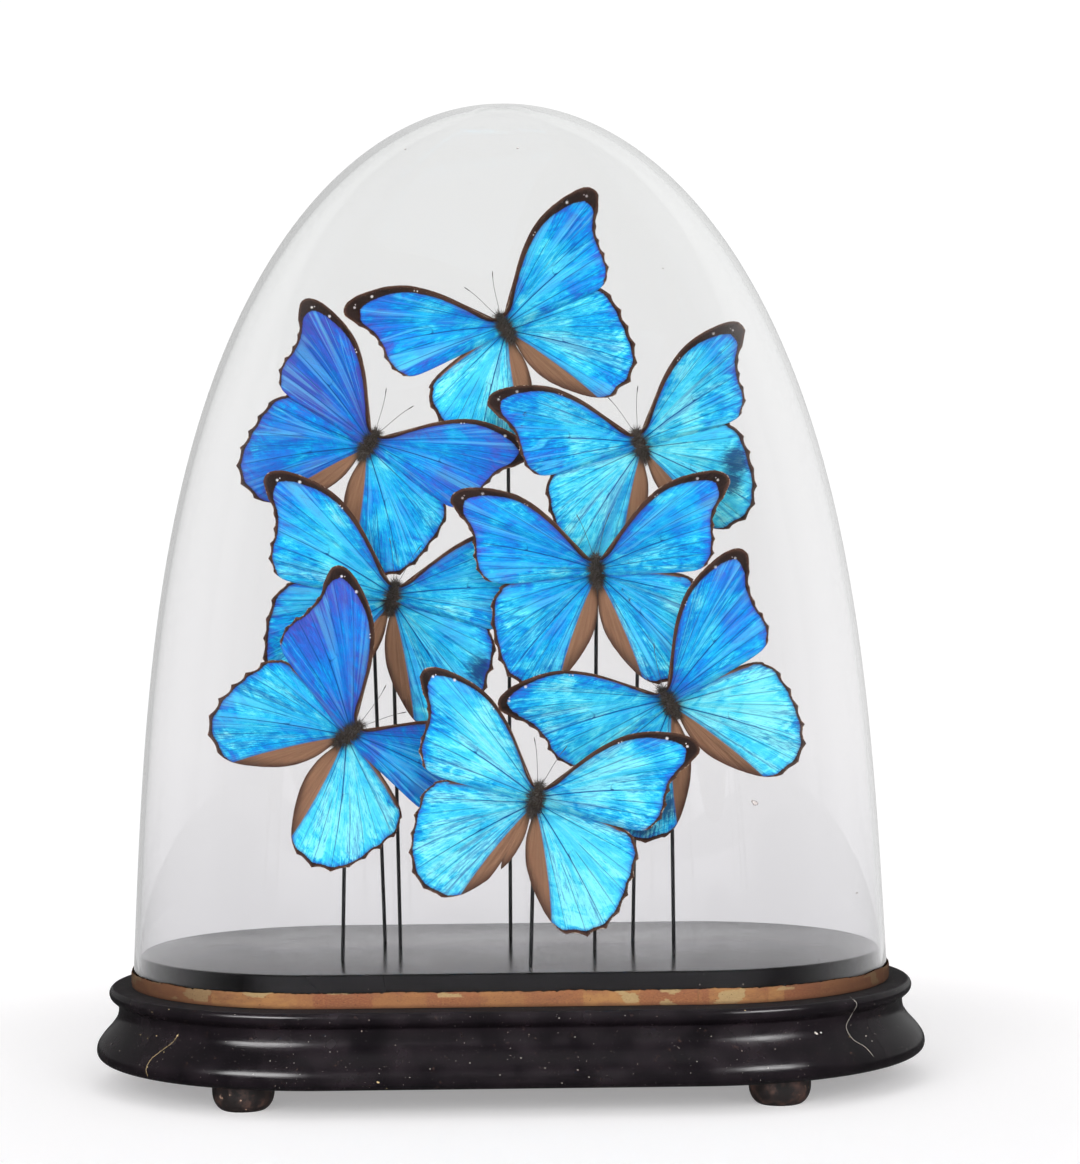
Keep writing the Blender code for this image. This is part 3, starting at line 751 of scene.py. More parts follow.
baseWear = {
    # pixels of the photograph
    "cracks": [([(178.5, 1034), (172.7, 1042.4), (163.5, 1049.2), (151.2, 1059.2), (146.2, 1068.5), (147.6, 1076)], 0.11),
               ([(850, 996.8), (856.8, 1004), (851.5, 1014.8), (846.2, 1027), (853.1, 1039.3), (865.3, 1047),
                 (873.5, 1056.5)], 0.09)],
    "ochre": [(177.5, 1035.5, 0.9), (156.6, 1036, 0.9), (147.4, 1038.5, 0.7), (140.5, 1034.7, 0.6), (168.8, 1009.4, 0.7),
              (163.9, 1052, 0.6), (147.2, 1067, 0.7), (377.8, 1082.3, 1.5), (386.7, 1088.5, 0.8), (152, 1012, 0.5),
              (745, 1010.5, 0.7), (849.4, 1037, 0.6)],
    "pale": [(816, 1033, 1.8), (821, 1032.4, 1.2), (866, 1036, 0.7), (872, 1041, 0.6), (559, 1018, 0.7), (625, 1015.5, 0.5),
             (575, 1037, 0.5), (270, 1061, 0.5), (294, 1063, 0.45), (521, 1058, 0.6), (545, 1068, 0.5), (697, 1061.5, 0.6),
             (470, 1063, 0.55), (500, 1075, 0.5), (578, 1070, 0.6), (562, 1083, 0.7), (589, 1077, 0.5), (456, 1061, 0.4),
             (679, 1048, 0.45), (430, 1069, 0.5), (610, 1090, 0.4), (330, 1052, 0.4), (748, 1043, 0.4), (768, 1068, 0.5)],
    "dustPerMetre": 34000.0, "dustSize": 0.16,
}


def dustTree():
    # grit of mixed sizes settled on a surface
    tree = bpy.data.node_groups.new("settledDust", "GeometryNodeTree")
    for name, kind in (("Geometry", "NodeSocketGeometry"), ("Density", "NodeSocketFloat"), ("Size", "NodeSocketFloat"),
                       ("Seed", "NodeSocketInt")):
        tree.interface.new_socket(name, in_out="INPUT", socket_type=kind)
    tree.interface.new_socket("Geometry", in_out="OUTPUT", socket_type="NodeSocketGeometry")
    given = addNode(tree, "NodeGroupInput").outputs
    points = addNode(tree, "GeometryNodeDistributePointsOnFaces",
                     {"Mesh": given["Geometry"], "Density": given["Density"], "Seed": given["Seed"]})
    grain = addNode(tree, "GeometryNodeMeshIcoSphere", {"Radius": given["Size"], "Subdivisions": 1})
    flat = addNode(tree, "GeometryNodeTransform", {"Geometry": grain.outputs[0], "Scale": (1.0, 0.8, 0.35)})
    size = addNode(tree, "FunctionNodeRandomValue", {2: 0.0, 3: 1.0, "Seed": given["Seed"]}, data_type="FLOAT")
    size = mathNode(tree, "ADD", mathNode(tree, "POWER", size.outputs[1], 6.0), 0.22)
    placed = addNode(tree, "GeometryNodeInstanceOnPoints",
                     {"Points": points.outputs["Points"], "Instance": flat.outputs[0],
                      "Rotation": points.outputs["Rotation"], "Scale": size})
    real = addNode(tree, "GeometryNodeRealizeInstances", {0: placed.outputs[0]})
    coloured = addNode(tree, "GeometryNodeSetMaterial", {"Geometry": real.outputs[0], "Material": finish["dust"]})
    out = addNode(tree, "NodeGroupOutput")
    tree.links.new(coloured.outputs[0], out.inputs[0])
    return tree


def nodesResult(source, tree, values):
    # the source object's mesh after a Geometry Nodes tree, as a plain mesh
    modifier = source.modifiers.new(tree.name, "NODES")
    modifier.node_group = tree
    for socket in tree.interface.items_tree:
        if socket.item_type == "SOCKET" and socket.in_out == "INPUT" and socket.name in values:
            modifier[socket.identifier] = values[socket.name]
    evaluated = source.evaluated_get(bpy.context.evaluated_depsgraph_get())
    mesh = bpy.data.meshes.new_from_object(evaluated)
    source.modifiers.remove(modifier)
    return mesh


def wearOfBase():
    surface = surfacesOf(mouldingPieces)
    parts = [hairline(surface, pixels, radius) for pixels, radius in baseWear["cracks"]]
    parts[1]["finish"] = 1
    for kind, name in ((0, "ochre"), (1, "pale")):
        for seed, (x, y, size) in enumerate(baseWear[name]):
            part = flake(surface, x, y, size * 0.5, seed + 50 * kind)
            if part:
                part["finish"] = kind
                parts.append(part)
    chips = joinParts("mouldingChips", parts, [finish["bare"], finish["dust"]])
    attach(chips, "root")
    tree = dustTree()
    for number, piece in enumerate(mouldingPieces):
        mesh = nodesResult(piece, tree, {"Density": baseWear["dustPerMetre"], "Size": baseWear["dustSize"] * mm,
                                         "Seed": number})
        grit = bpy.data.objects.new(piece.name + "Dust", mesh)
        scene.collection.objects.link(grit)
        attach(grit, "root")


wearOfBase()
print("wear of the base made")

board = {"radius": 91.8, "top": 63.7, "low": 13.2, "round": 1.2,
         # crumbs and scale dust that have dropped on it: pixel and size
         "flecks": [(302.6, 946.6, 0.9), (327.9, 946.6, 0.7), (236, 958.3, 0.8), (255.2, 945.1, 0.6), (469.3, 952.3, 0.8),
                    (301, 929, 0.7), (818, 960, 2.0), (823, 961, 1.0), (580, 957, 0.7), (712, 966, 0.5), (700, 945, 0.6),
                    (640, 930, 0.5), (430, 940, 0.5), (180, 943, 0.6), (858, 950, 0.6)]}


def displayBoard():
    points = wholePlan()
    rings = [ringAt(points, board["radius"], board["low"])]
    for i in range(6):
        turn = i / 5 * pi / 2
        inset = board["round"] * (1 - cos(turn))
        drop = board["round"] * (1 - sin(turn))
        rings.append(ringAt(points, board["radius"] - inset, board["top"] - drop))
    count = len(points)
    faces = gridFaces(len(rings), count, closed=True)
    faces.append(tuple(reversed(range(count))))
    faces.append(tuple(len(rings) * count - count + k for k in range(count)))
    piece = joinParts("displayBoard", [{"verts": np.concatenate(rings), "faces": faces}], [finish["board"]])
    dress(piece, "polished_board", "display_board")
    surface = surfacesOf([piece])
    flecks = [flake(surface, x, y, size * 0.5, 90 + k) for k, (x, y, size) in enumerate(board["flecks"])]
    flecks = joinParts("boardFlecks", [part for part in flecks if part], [finish["chitin"]])
    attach(flecks, "root")


displayBoard()

feet = {"profile": [(9.5, 0.0), (10.6, 0.5), (12.0, 1.7), (13.3, 3.6), (14.2, 6.2), (14.5, 9.2), (14.4, 11.6),
                    (13.9, 12.9)],
        "at": (124.0, 78.0), "sides": 48}


def bunFoot(name, node, x, y):
    curve = smoothCurve(feet["profile"], 3)
    turn = np.arange(feet["sides"]) * 2 * pi / feet["sides"]
    rings = [np.stack([x + r * np.cos(turn), y + r * np.sin(turn), np.full(len(turn), z)], 1) for r, z in curve]
    count = feet["sides"]
    faces = gridFaces(len(rings), count, closed=True)
    faces.append(tuple(reversed(range(count))))
    faces.append(tuple((len(rings) - 1) * count + k for k in range(count)))
    piece = joinParts(name, [{"verts": np.concatenate(rings), "faces": faces}], [finish["foot"]], sharp=45.0)
    dress(piece, "foot_wood", node)


for wordX, signX in (("Left", -1), ("Right", 1)):
    for wordY, signY in (("Front", -1), ("Back", 1)):
        bunFoot(f"foot{wordY}{wordX}", f"foot_{wordY.lower()}_{wordX.lower()}",
                signX * feet["at"][0], signY * feet["at"][1])
print("board and feet made")


# The dome and its paper strip

dome = {"radius": 95.6, "glass": 2.4, "foot": 48.6, "top": 469.0, "flare": 0.115, "round": 3.2, "levels": 70,
        # grey specks of lint on the outside: pixel and size
        "motes": [(755, 803, 2.6), (517.5, 148, 0.9), (663, 268, 0.7), (470, 183, 0.5), (857, 893, 1.2), (405, 149, 1.0)]}


def domeScale(level):
    return (1 - dome["flare"] * (1 - level)) * sqrt(max(0.0, 1 - (1 - level) ** dome["round"]))


def domeSkin(inset):
    points = wholePlan()
    top = dome["top"] - inset
    rings = []
    for i in range(dome["levels"], 0, -1):
        level = (i / dome["levels"]) ** 2
        scale = domeScale(level)
        height = top - level * (top - dome["foot"])
        shaped = points * (scale, 1, 1)
        rings.append(ringAt(shaped, scale * dome["radius"] - inset, height))
    return rings, top


def glassDome():
    outer, outerTop = domeSkin(0.0)
    inner, innerTop = domeSkin(dome["glass"])
    count = len(outer[0])
    rings = outer[::-1] + inner
    rows = len(rings)
    verts = np.concatenate(rings + [np.array([(0, 0, outerTop), (0, 0, innerTop)])])
    faces = gridFaces(rows, count, closed=True)
    for c in range(count):
        d = (c + 1) % count
        faces.append((rows * count, d, c))
        faces.append((rows * count + 1, (rows - 1) * count + c, (rows - 1) * count + d))
    piece = joinParts("glassDome", [{"verts": verts, "faces": faces}], [finish["glass"]], sharp=70.0)
    dress(piece, "clear_glass", "glass_dome")
    surface = surfacesOf([piece])
    motes = [flake(surface, x, y, size * 0.5, 130 + k) for k, (x, y, size) in enumerate(dome["motes"])]
    motes = joinParts("domeMotes", [part for part in motes if part], [finish["lint"]])
    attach(motes, "root")


glassDome()

strip = {"inner": 95.9, "thick": 0.6, "low": 48.6, "height": 7.4, "tear": 0.75, "columns": 1400, "rows": 7}


def footBand():
    # the strip follows the glass; its top edge is torn, its face puckers a little
    path = wholePlan()
    closed = np.concatenate([path, path[:1]])
    place = ringAt(closed, strip["inner"], 0.0)
    length = np.concatenate([[0], np.cumsum(np.linalg.norm(np.diff(place, axis=0), axis=1))])
    along = np.arange(strip["columns"]) * length[-1] / strip["columns"]
    fine = np.stack([np.interp(along, length, closed[:, k]) for k in range(3)], 1)
    top = []
    for s in along:
        ragged = noise.noise((s * 0.05, 0, 3)) * 1.0 + noise.noise((s * 0.35, 0, 7)) * 0.6
        ragged += noise.noise((s * 1.3, 0, 11)) * 0.6
        nick = max(0.0, noise.noise((s * 0.3, 5, 2)) - 0.4) * 2.5
        top.append(strip["height"] + strip["tear"] * (ragged - 0.4) - nick)
    top = np.array(top)
    rings = []
    heights = []
    for row in range(strip["rows"]):
        share = row / (strip["rows"] - 1)
        pucker = np.array([noise.noise((s * 0.12, share * 2, 1)) for s in along]) * 0.12
        edge = 0.25 if row in (0, strip["rows"] - 1) else 0.0
        rings.append(ringAt(fine, strip["inner"] + strip["thick"] - 0.1 - edge + pucker, strip["low"] + top * share))
        heights.append(top * share)
    rings.append(ringAt(fine, strip["inner"], strip["low"] + top))
    rings.append(ringAt(fine, strip["inner"], strip["low"] + top * 0))
    heights += [top, top * 0]
    part = closedSweep(rings, True)
    part["fields"] = {"strip": np.concatenate([np.stack([along / 100, h / 10], 1) for h in heights])}
    piece = joinParts("footBand", [part], [finish["paper"]], sharp=60.0)
    dress(piece, "paper_strip", "foot_band")


footBand()
print("dome and strip made")


# The butterflies: one pattern of wings, placed and varied for each specimen

wings = {
    "fore": {
        "outline": [(2.4, 8.6), (6.0, 11.6), (12.0, 20.8), (19.0, 30.3), (26.0, 37.6), (33.0, 43.0),
                    (42.0, 47.0), (52.0, 49.4), (59.5, 49.8), (64.5, 48.0), (66.4, 44.2), (65.2, 39.6),
                    (61.8, 34.6), (59.2, 29.0), (58.4, 22.0), (58.9, 15.5), (58.2, 9.6), (55.4, 4.8),
                    (50.6, 2.0), (44.0, 1.0), (34.0, 0.6), (20.0, 0.2), (10.0, -0.2), (2.6, 0.4)],
        "rootTop": (1.6, 7.6), "rootLow": (1.6, 1.2), "hinge": (3.0, 4.0),
        # each vein: its end as a share of the outline from the costa's base, ink as far as the cell's
        # end and beyond it, and the share of the way out where it begins
        "veins": [(0.225, 0.3, 0.3, 0.0), (0.32, 0.25, 0.35, 0.0), (0.405, 0.5, 0.4, 0.0), (0.47, 0.0, 0.5, 0.48),
                  (0.515, 0.0, 0.55, 0.5), (0.555, 0.0, 0.5, 0.52), (0.592, 0.95, 0.6, 0.0), (0.63, 0.0, 0.55, 0.4),
                  (0.668, 0.45, 0.5, 0.0), (0.705, 0.25, 0.3, 0.0)],
        "cell": (0.592, 0.55, 0.2),          # its lower side, its end and the ink of the cross vein there
        "scallop": 1.5, "scallopFrom": 0.47, "scallopTo": 0.705, "bow": 1.6, "forward": 0.55,
    },
    "hind": {
        "outline": [(2.4, 3.2), (16.0, 3.0), (32.0, 2.0), (45.0, -0.6), (51.4, -6.0), (53.6, -15.0),
                    (53.2, -26.0), (51.2, -38.0), (46.6, -47.2), (39.0, -52.6), (30.0, -53.6), (21.6, -50.0),
                    (12.4, -41.0), (4.6, -30.0), (0.9, -19.0), (0.3, -10.0), (1.0, -4.0)],
        "rootTop": (1.8, 1.6), "rootLow": (1.4, -2.6), "hinge": (3.0, -1.0),
        "veins": [(0.17, 0.2, 0.2, 0.0), (0.325, 0.5, 0.4, 0.0), (0.375, 0.0, 0.4, 0.4), (0.425, 0.0, 0.4, 0.42),
                  (0.477, 0.0, 0.45, 0.42), (0.53, 0.8, 0.6, 0.0), (0.585, 0.0, 0.45, 0.22), (0.64, 0.4, 0.35, 0.0),
                  (0.78, 0.2, 0.2, 0.0)],
        "cell": (0.53, 0.42, 0.12),
        "scallop": 2.0, "scallopFrom": 0.27, "scallopTo": 0.64, "bow": 1.2, "forward": -0.55,
        # line between the blue and the brown inner margin
        "brownLine": [(1.0, -2.0), (7.0, -13.0), (12.6, -25.0), (18.0, -38.0), (23.0, -52.0)],
    },
    "columns": 100, "rows": 30, "thick": 0.24, "pleat": 0.42, "ripple": 0.35, "dome": 0.9,
}

rimWidths = {
    # share of the outline and width of the dark rim there
    "fore": [(0.0, 1.5), (0.1, 1.8), (0.2, 2.3), (0.3, 2.9), (0.37, 3.8), (0.42, 5.4), (0.45, 7.0), (0.475, 6.4),
             (0.495, 3.6), (0.515, 1.6), (0.6, 1.1), (0.69, 0.9), (0.715, 0.3), (0.75, -0.7), (1.0, -0.7)],
    "hind": [(0.0, 0.8), (0.2, 0.9), (0.25, 1.4), (0.33, 1.3), (0.5, 1.4), (0.62, 1.7), (0.66, 1.0),
             (0.70, 0.1), (1.0, -0.2)],
}

# Thorax place, tilt to the right in the picture, turn about the upright, lift of the left and right
# wings, swing of each towards the head, size and foot of the rod. sheenTones run from turquoise 0 to violet 1:
# the hue each wing shows at its tilt, painted in as a painted sheen; trims scale single wings, both for the left and
# right forewing, then the left and right hindwing; rims scale the dark front edge of the left and right forewing.
specimens = [
    {"at": (2, 30, 361), "tilt": -29, "turn": -5, "lift": (9, 9), "fore": (1, -8.8), "hind": (-4, 0.6), "size": 1.01,
     "rodX": 0.2, "sheenTones": (0.46, 0.34, 0.18, 0.32), "trims": (1.0, 1.01, 0.97, 1.0), "rims": (1.35, 1.3)},
    {"at": (-67, 16, 305), "tilt": 34, "turn": 3, "lift": (6, 6), "fore": (-2.4, -5), "hind": (3, 2), "size": 0.99,
     "rodX": -61, "sheenTones": (0.8, 0.58, 0.62, 0.38), "trims": (0.98, 1.0, 0.98, 0.98), "rims": (1.1, 0.95)},
    {"at": (66, 9, 303), "tilt": -18, "turn": -5, "lift": (10, 12), "fore": (0, -5), "hind": (5, 0), "size": 0.97,
     "rodX": 59.6, "sheenTones": (0.38, 0.24, 0.16, 0.12), "trims": (1.0, 1.0, 0.98, 0.97), "rims": (1.1, 1.25)},
    {"at": (-55, -4, 231), "tilt": 13, "turn": -5, "lift": (8, 9), "fore": (-3, -4.5), "hind": (0, 0), "size": 1.07,
     "rodX": -53, "sheenTones": (0.32, 0.4, 0.34, 0.26), "trims": (1.0, 1.0, 1.0, 0.98), "rims": (1.0, 0.9)},
    {"at": (43, -21, 243), "tilt": -3, "turn": -5, "lift": (8, 8), "fore": (-4, -3), "hind": (-1, -3), "size": 0.98,
     "rodX": 40.4, "sheenTones": (0.5, 0.44, 0.34, 0.3), "trims": (1.0, 1.0, 0.99, 0.99), "rims": (1.1, 1.1)},
    {"at": (77, -42, 182), "tilt": -30, "turn": -1, "lift": (6, 7), "fore": (-5, -1), "hind": (4, -2), "size": 1.03,
     "rodX": 77.4, "sheenTones": (0.26, 0.46, 0.28, 0.06), "trims": (0.99, 0.98, 0.97, 0.96), "rims": (0.65, 0.9)},
    {"at": (-76, -51, 170), "tilt": 54, "turn": 1, "lift": (6, 6), "fore": (-2, 8), "hind": (0, 1), "size": 1.00,
     "rodX": -79, "sheenTones": (0.72, 0.6, 0.36, 0.1), "trims": (1.0, 1.0, 0.97, 0.96), "rims": (0.95, 0.8)},
    {"at": (12, -79, 140), "tilt": 15, "turn": -1, "lift": (5, 5), "fore": (0, -2), "hind": (1, -1.5), "size": 1.00,
     "rodX": 9.2, "sheenTones": (0.12, 0.16, 0.14, 0.02), "trims": (1.0, 1.0, 0.98, 1.0), "rims": (0.75, 1.0)},
]
pitch = -4.0


def outlineAt(shape, shares):
    curve = smoothCurve(shape["outline"], 10)
    length = np.concatenate([[0], np.cumsum(np.linalg.norm(np.diff(curve, axis=0), axis=1))])
    length /= length[-1]
    return np.stack([np.interp(shares, length, curve[:, k]) for k in range(2)], 1)


def columnPlaces(shape):
    # shares of the outline for the grid's columns, with one on every vein
    stops = [0.0] + [vein[0] for vein in shape["veins"]] + [1.0]
    places = []
    for low, high in zip(stops, stops[1:]):
        steps = max(3, round((high - low) * wings["columns"]))
        places += list(np.linspace(low, high, steps, endpoint=False))
    return np.array(places + [1.0])


def rowPlaces(shape):
    # shares of the way from the root to the edge, closer together near the edge, one at the cell's end
    even = np.linspace(0, 1, wings["rows"])
    places = 1 - (1 - even) ** 1.3
    return np.unique(np.round(np.append(places, shape["cell"][1]), 5))


def between(shape, shares):
    # which two veins a place lies between, and how far from one to the other
    stops = np.array([0.0] + [vein[0] for vein in shape["veins"]] + [1.0])
    index = np.clip(np.searchsorted(stops, shares, "right") - 1, 0, len(stops) - 2)
    return index, (shares - stops[index]) / (stops[index + 1] - stops[index])


def wingPart(kind, side, swing, lift, size, seed, sheenTone, rimShare, worn=(), notches=(), paintedShadePatches=()):
    shape = wings[kind]
    t = columnPlaces(shape)
    s = rowPlaces(shape)
    edge = outlineAt(shape, t)
    rootTop, rootLow = np.array(shape["rootTop"]), np.array(shape["rootLow"])
    root = rootTop + (rootLow - rootTop) * t[:, None]
    index, share = between(shape, t)
    # scallops between the veins of the outer edge, each a little different, and torn notches
    inMargin = (t >= shape["scallopFrom"] - 1e-6) & (t <= shape["scallopTo"] + 1e-6)
    depth = np.array([0.75 + 0.5 * noise.noise((k * 2.3, seed, 0.5)) for k in index])
    cut = np.where(inMargin, shape["scallop"] * depth * np.sin(pi * share) ** 0.8, 0.0)
    cut += np.array([0.6 * abs(noise.noise((k * 110, seed, 4))) for k in t])
    for place, width, deep in notches:
        cut += deep * np.exp(-((t - place) / width) ** 2)
    reach = np.linalg.norm(edge - root, axis=1)
    edge = root + (edge - root) * (1 - np.minimum(cut, reach * 0.6) / reach)[:, None]
    ray = edge - root
    across = np.stack([-ray[:, 1], ray[:, 0]], 1) / np.maximum(np.linalg.norm(ray, axis=1), 1e-6)[:, None]
    bow = shape["bow"] * np.sin(pi * np.clip((t - 0.3) / 0.45, 0, 1)) ** 2
    flat = (root[None] + ray[None] * s[:, None, None]
            + across[None] * (bow[None] * np.sin(pi * s)[:, None])[:, :, None])
    # distances that the colours read
    border = np.stack([np.interp(np.linspace(0, 1, 700), t, edge[:, k]) for k in range(2)], 1)
    away = np.linalg.norm(flat.reshape(-1, 1, 2) - border[None], axis=2)
    nearest = away.argmin(1)
    edgeMm = away.min(1)
    edgeMm = edgeMm.reshape(len(s), len(t))
    edgeMm[-1] = 0.0
    nearShare = np.linspace(0, 1, 700)[nearest].reshape(len(s), len(t))
    rimAt = np.array(rimWidths[kind])
    rim = np.interp(nearShare, rimAt[:, 0], rimAt[:, 1]) * np.where(nearShare < 0.5, rimShare, 1.0)
    for place, *others in shape["veins"]:
        if shape["scallopFrom"] <= place <= shape["scallopTo"] + 0.01:
            rim += 0.9 * np.exp(-((nearShare - place) / 0.009) ** 2)
    spread = np.linalg.norm(np.gradient(flat, axis=1), axis=2) / np.gradient(t)[None]
    cellTo, cellEnd, crossInk = shape["cell"]
    veinMm = np.full(edgeMm.shape, 9.0)
    ink = np.zeros(edgeMm.shape)
    beyond = np.clip((s - cellEnd) / 0.06, 0, 1)[:, None]
    for place, inkNear, inkFar, start in shape["veins"]:
        off = np.abs(t - place)[None] * spread + np.maximum(0.0, start - s)[:, None] * 30.0
        here = (inkNear + (inkFar - inkNear) * beyond) * (1 - 0.5 * beyond * s[:, None] ** 2)
        ink = np.where(off < veinMm, here, ink)
        veinMm = np.minimum(veinMm, off)
    inCell = ((t >= cellTo - 0.055) & (t <= cellTo + 1e-6))[None]
    crossing = np.where(inCell, np.abs(s - cellEnd)[:, None] * reach[None], 9.0)
    ink = np.where(crossing < veinMm, crossInk, ink)
    veinMm = np.minimum(veinMm, crossing)
    brown = np.full(edgeMm.shape, -9.0)
    if "brownLine" in shape:
        line = smoothCurve(shape["brownLine"], 8)
        limit = np.interp(flat[:, :, 1], line[::-1, 1], line[::-1, 0])
        brown = (limit - flat[:, :, 0]) * 0.9
        brown = np.maximum(brown, np.where(nearShare < 0.24, 1.9 - edgeMm, -9.0))
    wornMm = np.full(edgeMm.shape, -9.0)
    for x, z, radius in worn:
        wornMm = np.maximum(wornMm, radius - np.hypot(flat[:, :, 0] - x, flat[:, :, 1] - z))
    # painted shade: darker navy patches where another specimen's wing lies in front
    paintedShadePatch = np.zeros(edgeMm.shape)
    for x, z, radius in paintedShadePatches:
        paintedShadePatch = np.maximum(paintedShadePatch, 1.5 - 1.5 * np.hypot(flat[:, :, 0] - x, flat[:, :, 1] - z) / radius)
    violet = np.zeros(edgeMm.shape)
    if kind == "fore":
        violet += np.clip((flat[:, :, 0] - 30) / 38, 0, 1) * np.clip((flat[:, :, 1] - 8) / 30, 0.15, 1)
    violet += 0.7 * np.clip(1 - edgeMm / 6.0, 0, 1) * (nearShare < 0.7)
    # relief: pleats that alternate from vein to vein, a slow ripple and a shallow crown
    alternate = np.cos(pi * (index + share))
    fine = np.cos(4 * pi * share)
    grow = np.clip(s * 1.6, 0, 1) * (1 - 0.5 * s ** 4)
    height = wings["pleat"] * grow[:, None] * (alternate + 0.18 * fine)[None]
    height += wings["dome"] * (np.sin(pi * np.clip(s, 0, 1) ** 0.8) ** 2)[:, None]
    wave = np.array([[noise.noise((x * 0.045, z * 0.045, seed)) for x, z in row] for row in flat])
    height += wings["ripple"] * 2.2 * wave * grow[:, None]
    # plate: front and back grids joined round their border
    rows, columns = edgeMm.shape
    half = wings["thick"] / 2
    front = np.stack([flat[:, :, 0], -(height + half) - shape["forward"], flat[:, :, 1]], 2).reshape(-1, 3)
    back = np.stack([flat[:, :, 0], -(height - half) - shape["forward"], flat[:, :, 1]], 2).reshape(-1, 3)
    faces = gridFaces(rows, columns)
    total = rows * columns
    backFaces = [tuple(total + i for i in reversed(face)) for face in faces]
    loop = [c for c in range(columns)] + [r * columns + columns - 1 for r in range(1, rows)]
    loop += [(rows - 1) * columns + c for c in range(columns - 2, -1, -1)] + [r * columns for r in range(rows - 2, 0, -1)]
    rimFaces = [(loop[(k + 1) % len(loop)], loop[k], total + loop[k], total + loop[(k + 1) % len(loop)])
                for k in range(len(loop))]
    verts = np.concatenate([front, back])
    hinge = np.array((shape["hinge"][0], 0.0, shape["hinge"][1]))
    turned = (verts - hinge) @ np.array(Matrix.Rotation(radians(-swing), 3, "Y")).T * (size, 1.0, size) + hinge
    turned = turned @ np.array(Matrix.Rotation(radians(-lift), 3, "Z")).T
    turned[:, 0] *= side
    double = lambda values: np.concatenate([values.ravel(), values.ravel()])
    fan = np.stack([np.broadcast_to(t[None], edgeMm.shape), np.broadcast_to(s[:, None], edgeMm.shape)], 2)
    shift = wingMarks["hindShift"] if kind == "hind" else 0.0
    fields = {
        "fan": np.concatenate([fan.reshape(-1, 2)] * 2), "ink": double(ink), "seed": np.full(2 * total, seed),
        "plane": np.concatenate([(flat + (shift, 0)).reshape(-1, 2) / 100] * 2),
        "edge": double(edgeMm), "rim": double(rim), "vein": double(veinMm), "brown": double(brown),
        "worn": double(wornMm), "violet": double(violet), "sheenTone": np.full(2 * total, sheenTone),
        "paintedShadePatch": double(paintedShadePatch),
    }
    finishes = [0] * len(faces) + [1] * len(backFaces) + [0] * len(rimFaces)
    return {"verts": turned, "faces": faces + backFaces + rimFaces, "finish": finishes, "fields": fields}


body = {
    # place along the body and radius, tail to head
    "profile": [(-7.2, 0.3), (-6.2, 1.0), (-4.6, 1.6), (-2.8, 1.9), (-1.2, 2.3), (1.0, 2.9), (3.0, 3.0), (5.0, 2.4),
                (6.2, 1.7), (7.4, 1.6), (8.8, 1.4), (9.6, 0.9), (10.0, 0.3)],
    "sides": 18, "eye": 0.95, "hairDensity": 9e6, "hairLength": 3.4, "hairWidth": 0.12,
    "antenna": [(0.9, 0.2, 9.6), (2.3, 0.0, 14.0), (3.9, -0.4, 19.5), (5.8, -0.3, 25.0), (7.9, 0.2, 29.6)],
    "antennaRadius": 0.12,
}


def bodyPart():
    curve = smoothCurve(body["profile"], 3)
    turn = np.arange(body["sides"]) * 2 * pi / body["sides"]
    rings = []
    for z, r in curve:
        rings.append(np.stack([r * np.cos(turn), r * 0.92 * np.sin(turn), np.full(len(turn), z)], 1))
    count = body["sides"]
    faces = gridFaces(len(rings), count, closed=True)
    faces.append(tuple(reversed(range(count))))
    faces.append(tuple((len(rings) - 1) * count + k for k in range(count)))
    return {"verts": np.concatenate(rings), "faces": faces, "finish": 2}


def eyePart(side):
    path = [(side * (0.6 + 0.25 * k), -0.5, 8.3) for k in range(7)]
    radii = [body["eye"] * sqrt(max(0.02, 1 - ((k - 3) / 3.2) ** 2)) for k in range(7)]
    return tubePart(path, radii, 12, 3)


def antennaPart(side):
    path = smoothCurve(body["antenna"], 5) * (side, 1, 1)
    radii = np.full(len(path), body["antennaRadius"])
    radii[-4:] *= (1.3, 1.9, 2.0, 1.2)
    return tubePart(path, radii, 6, 3)


def legParts():
    # four walking legs folded under the thorax, on the side away from the viewer
    parts = []
    for side in (-1, 1):
        for z, reach, drop in ((4.4, 5.0, 3.0), (1.6, 6.5, -5.5)):
            path = smoothCurve([(side * 1.2, 3.0, z), (side * 3.6, 4.8, z + 0.25 * drop),
                                (side * reach, 5.0, z + 0.6 * drop), (side * (reach - 2.5), 5.6, z + drop)], 4)
            parts.append(tubePart(path, np.linspace(0.42, 0.16, len(path)), 6, 3))
    return parts


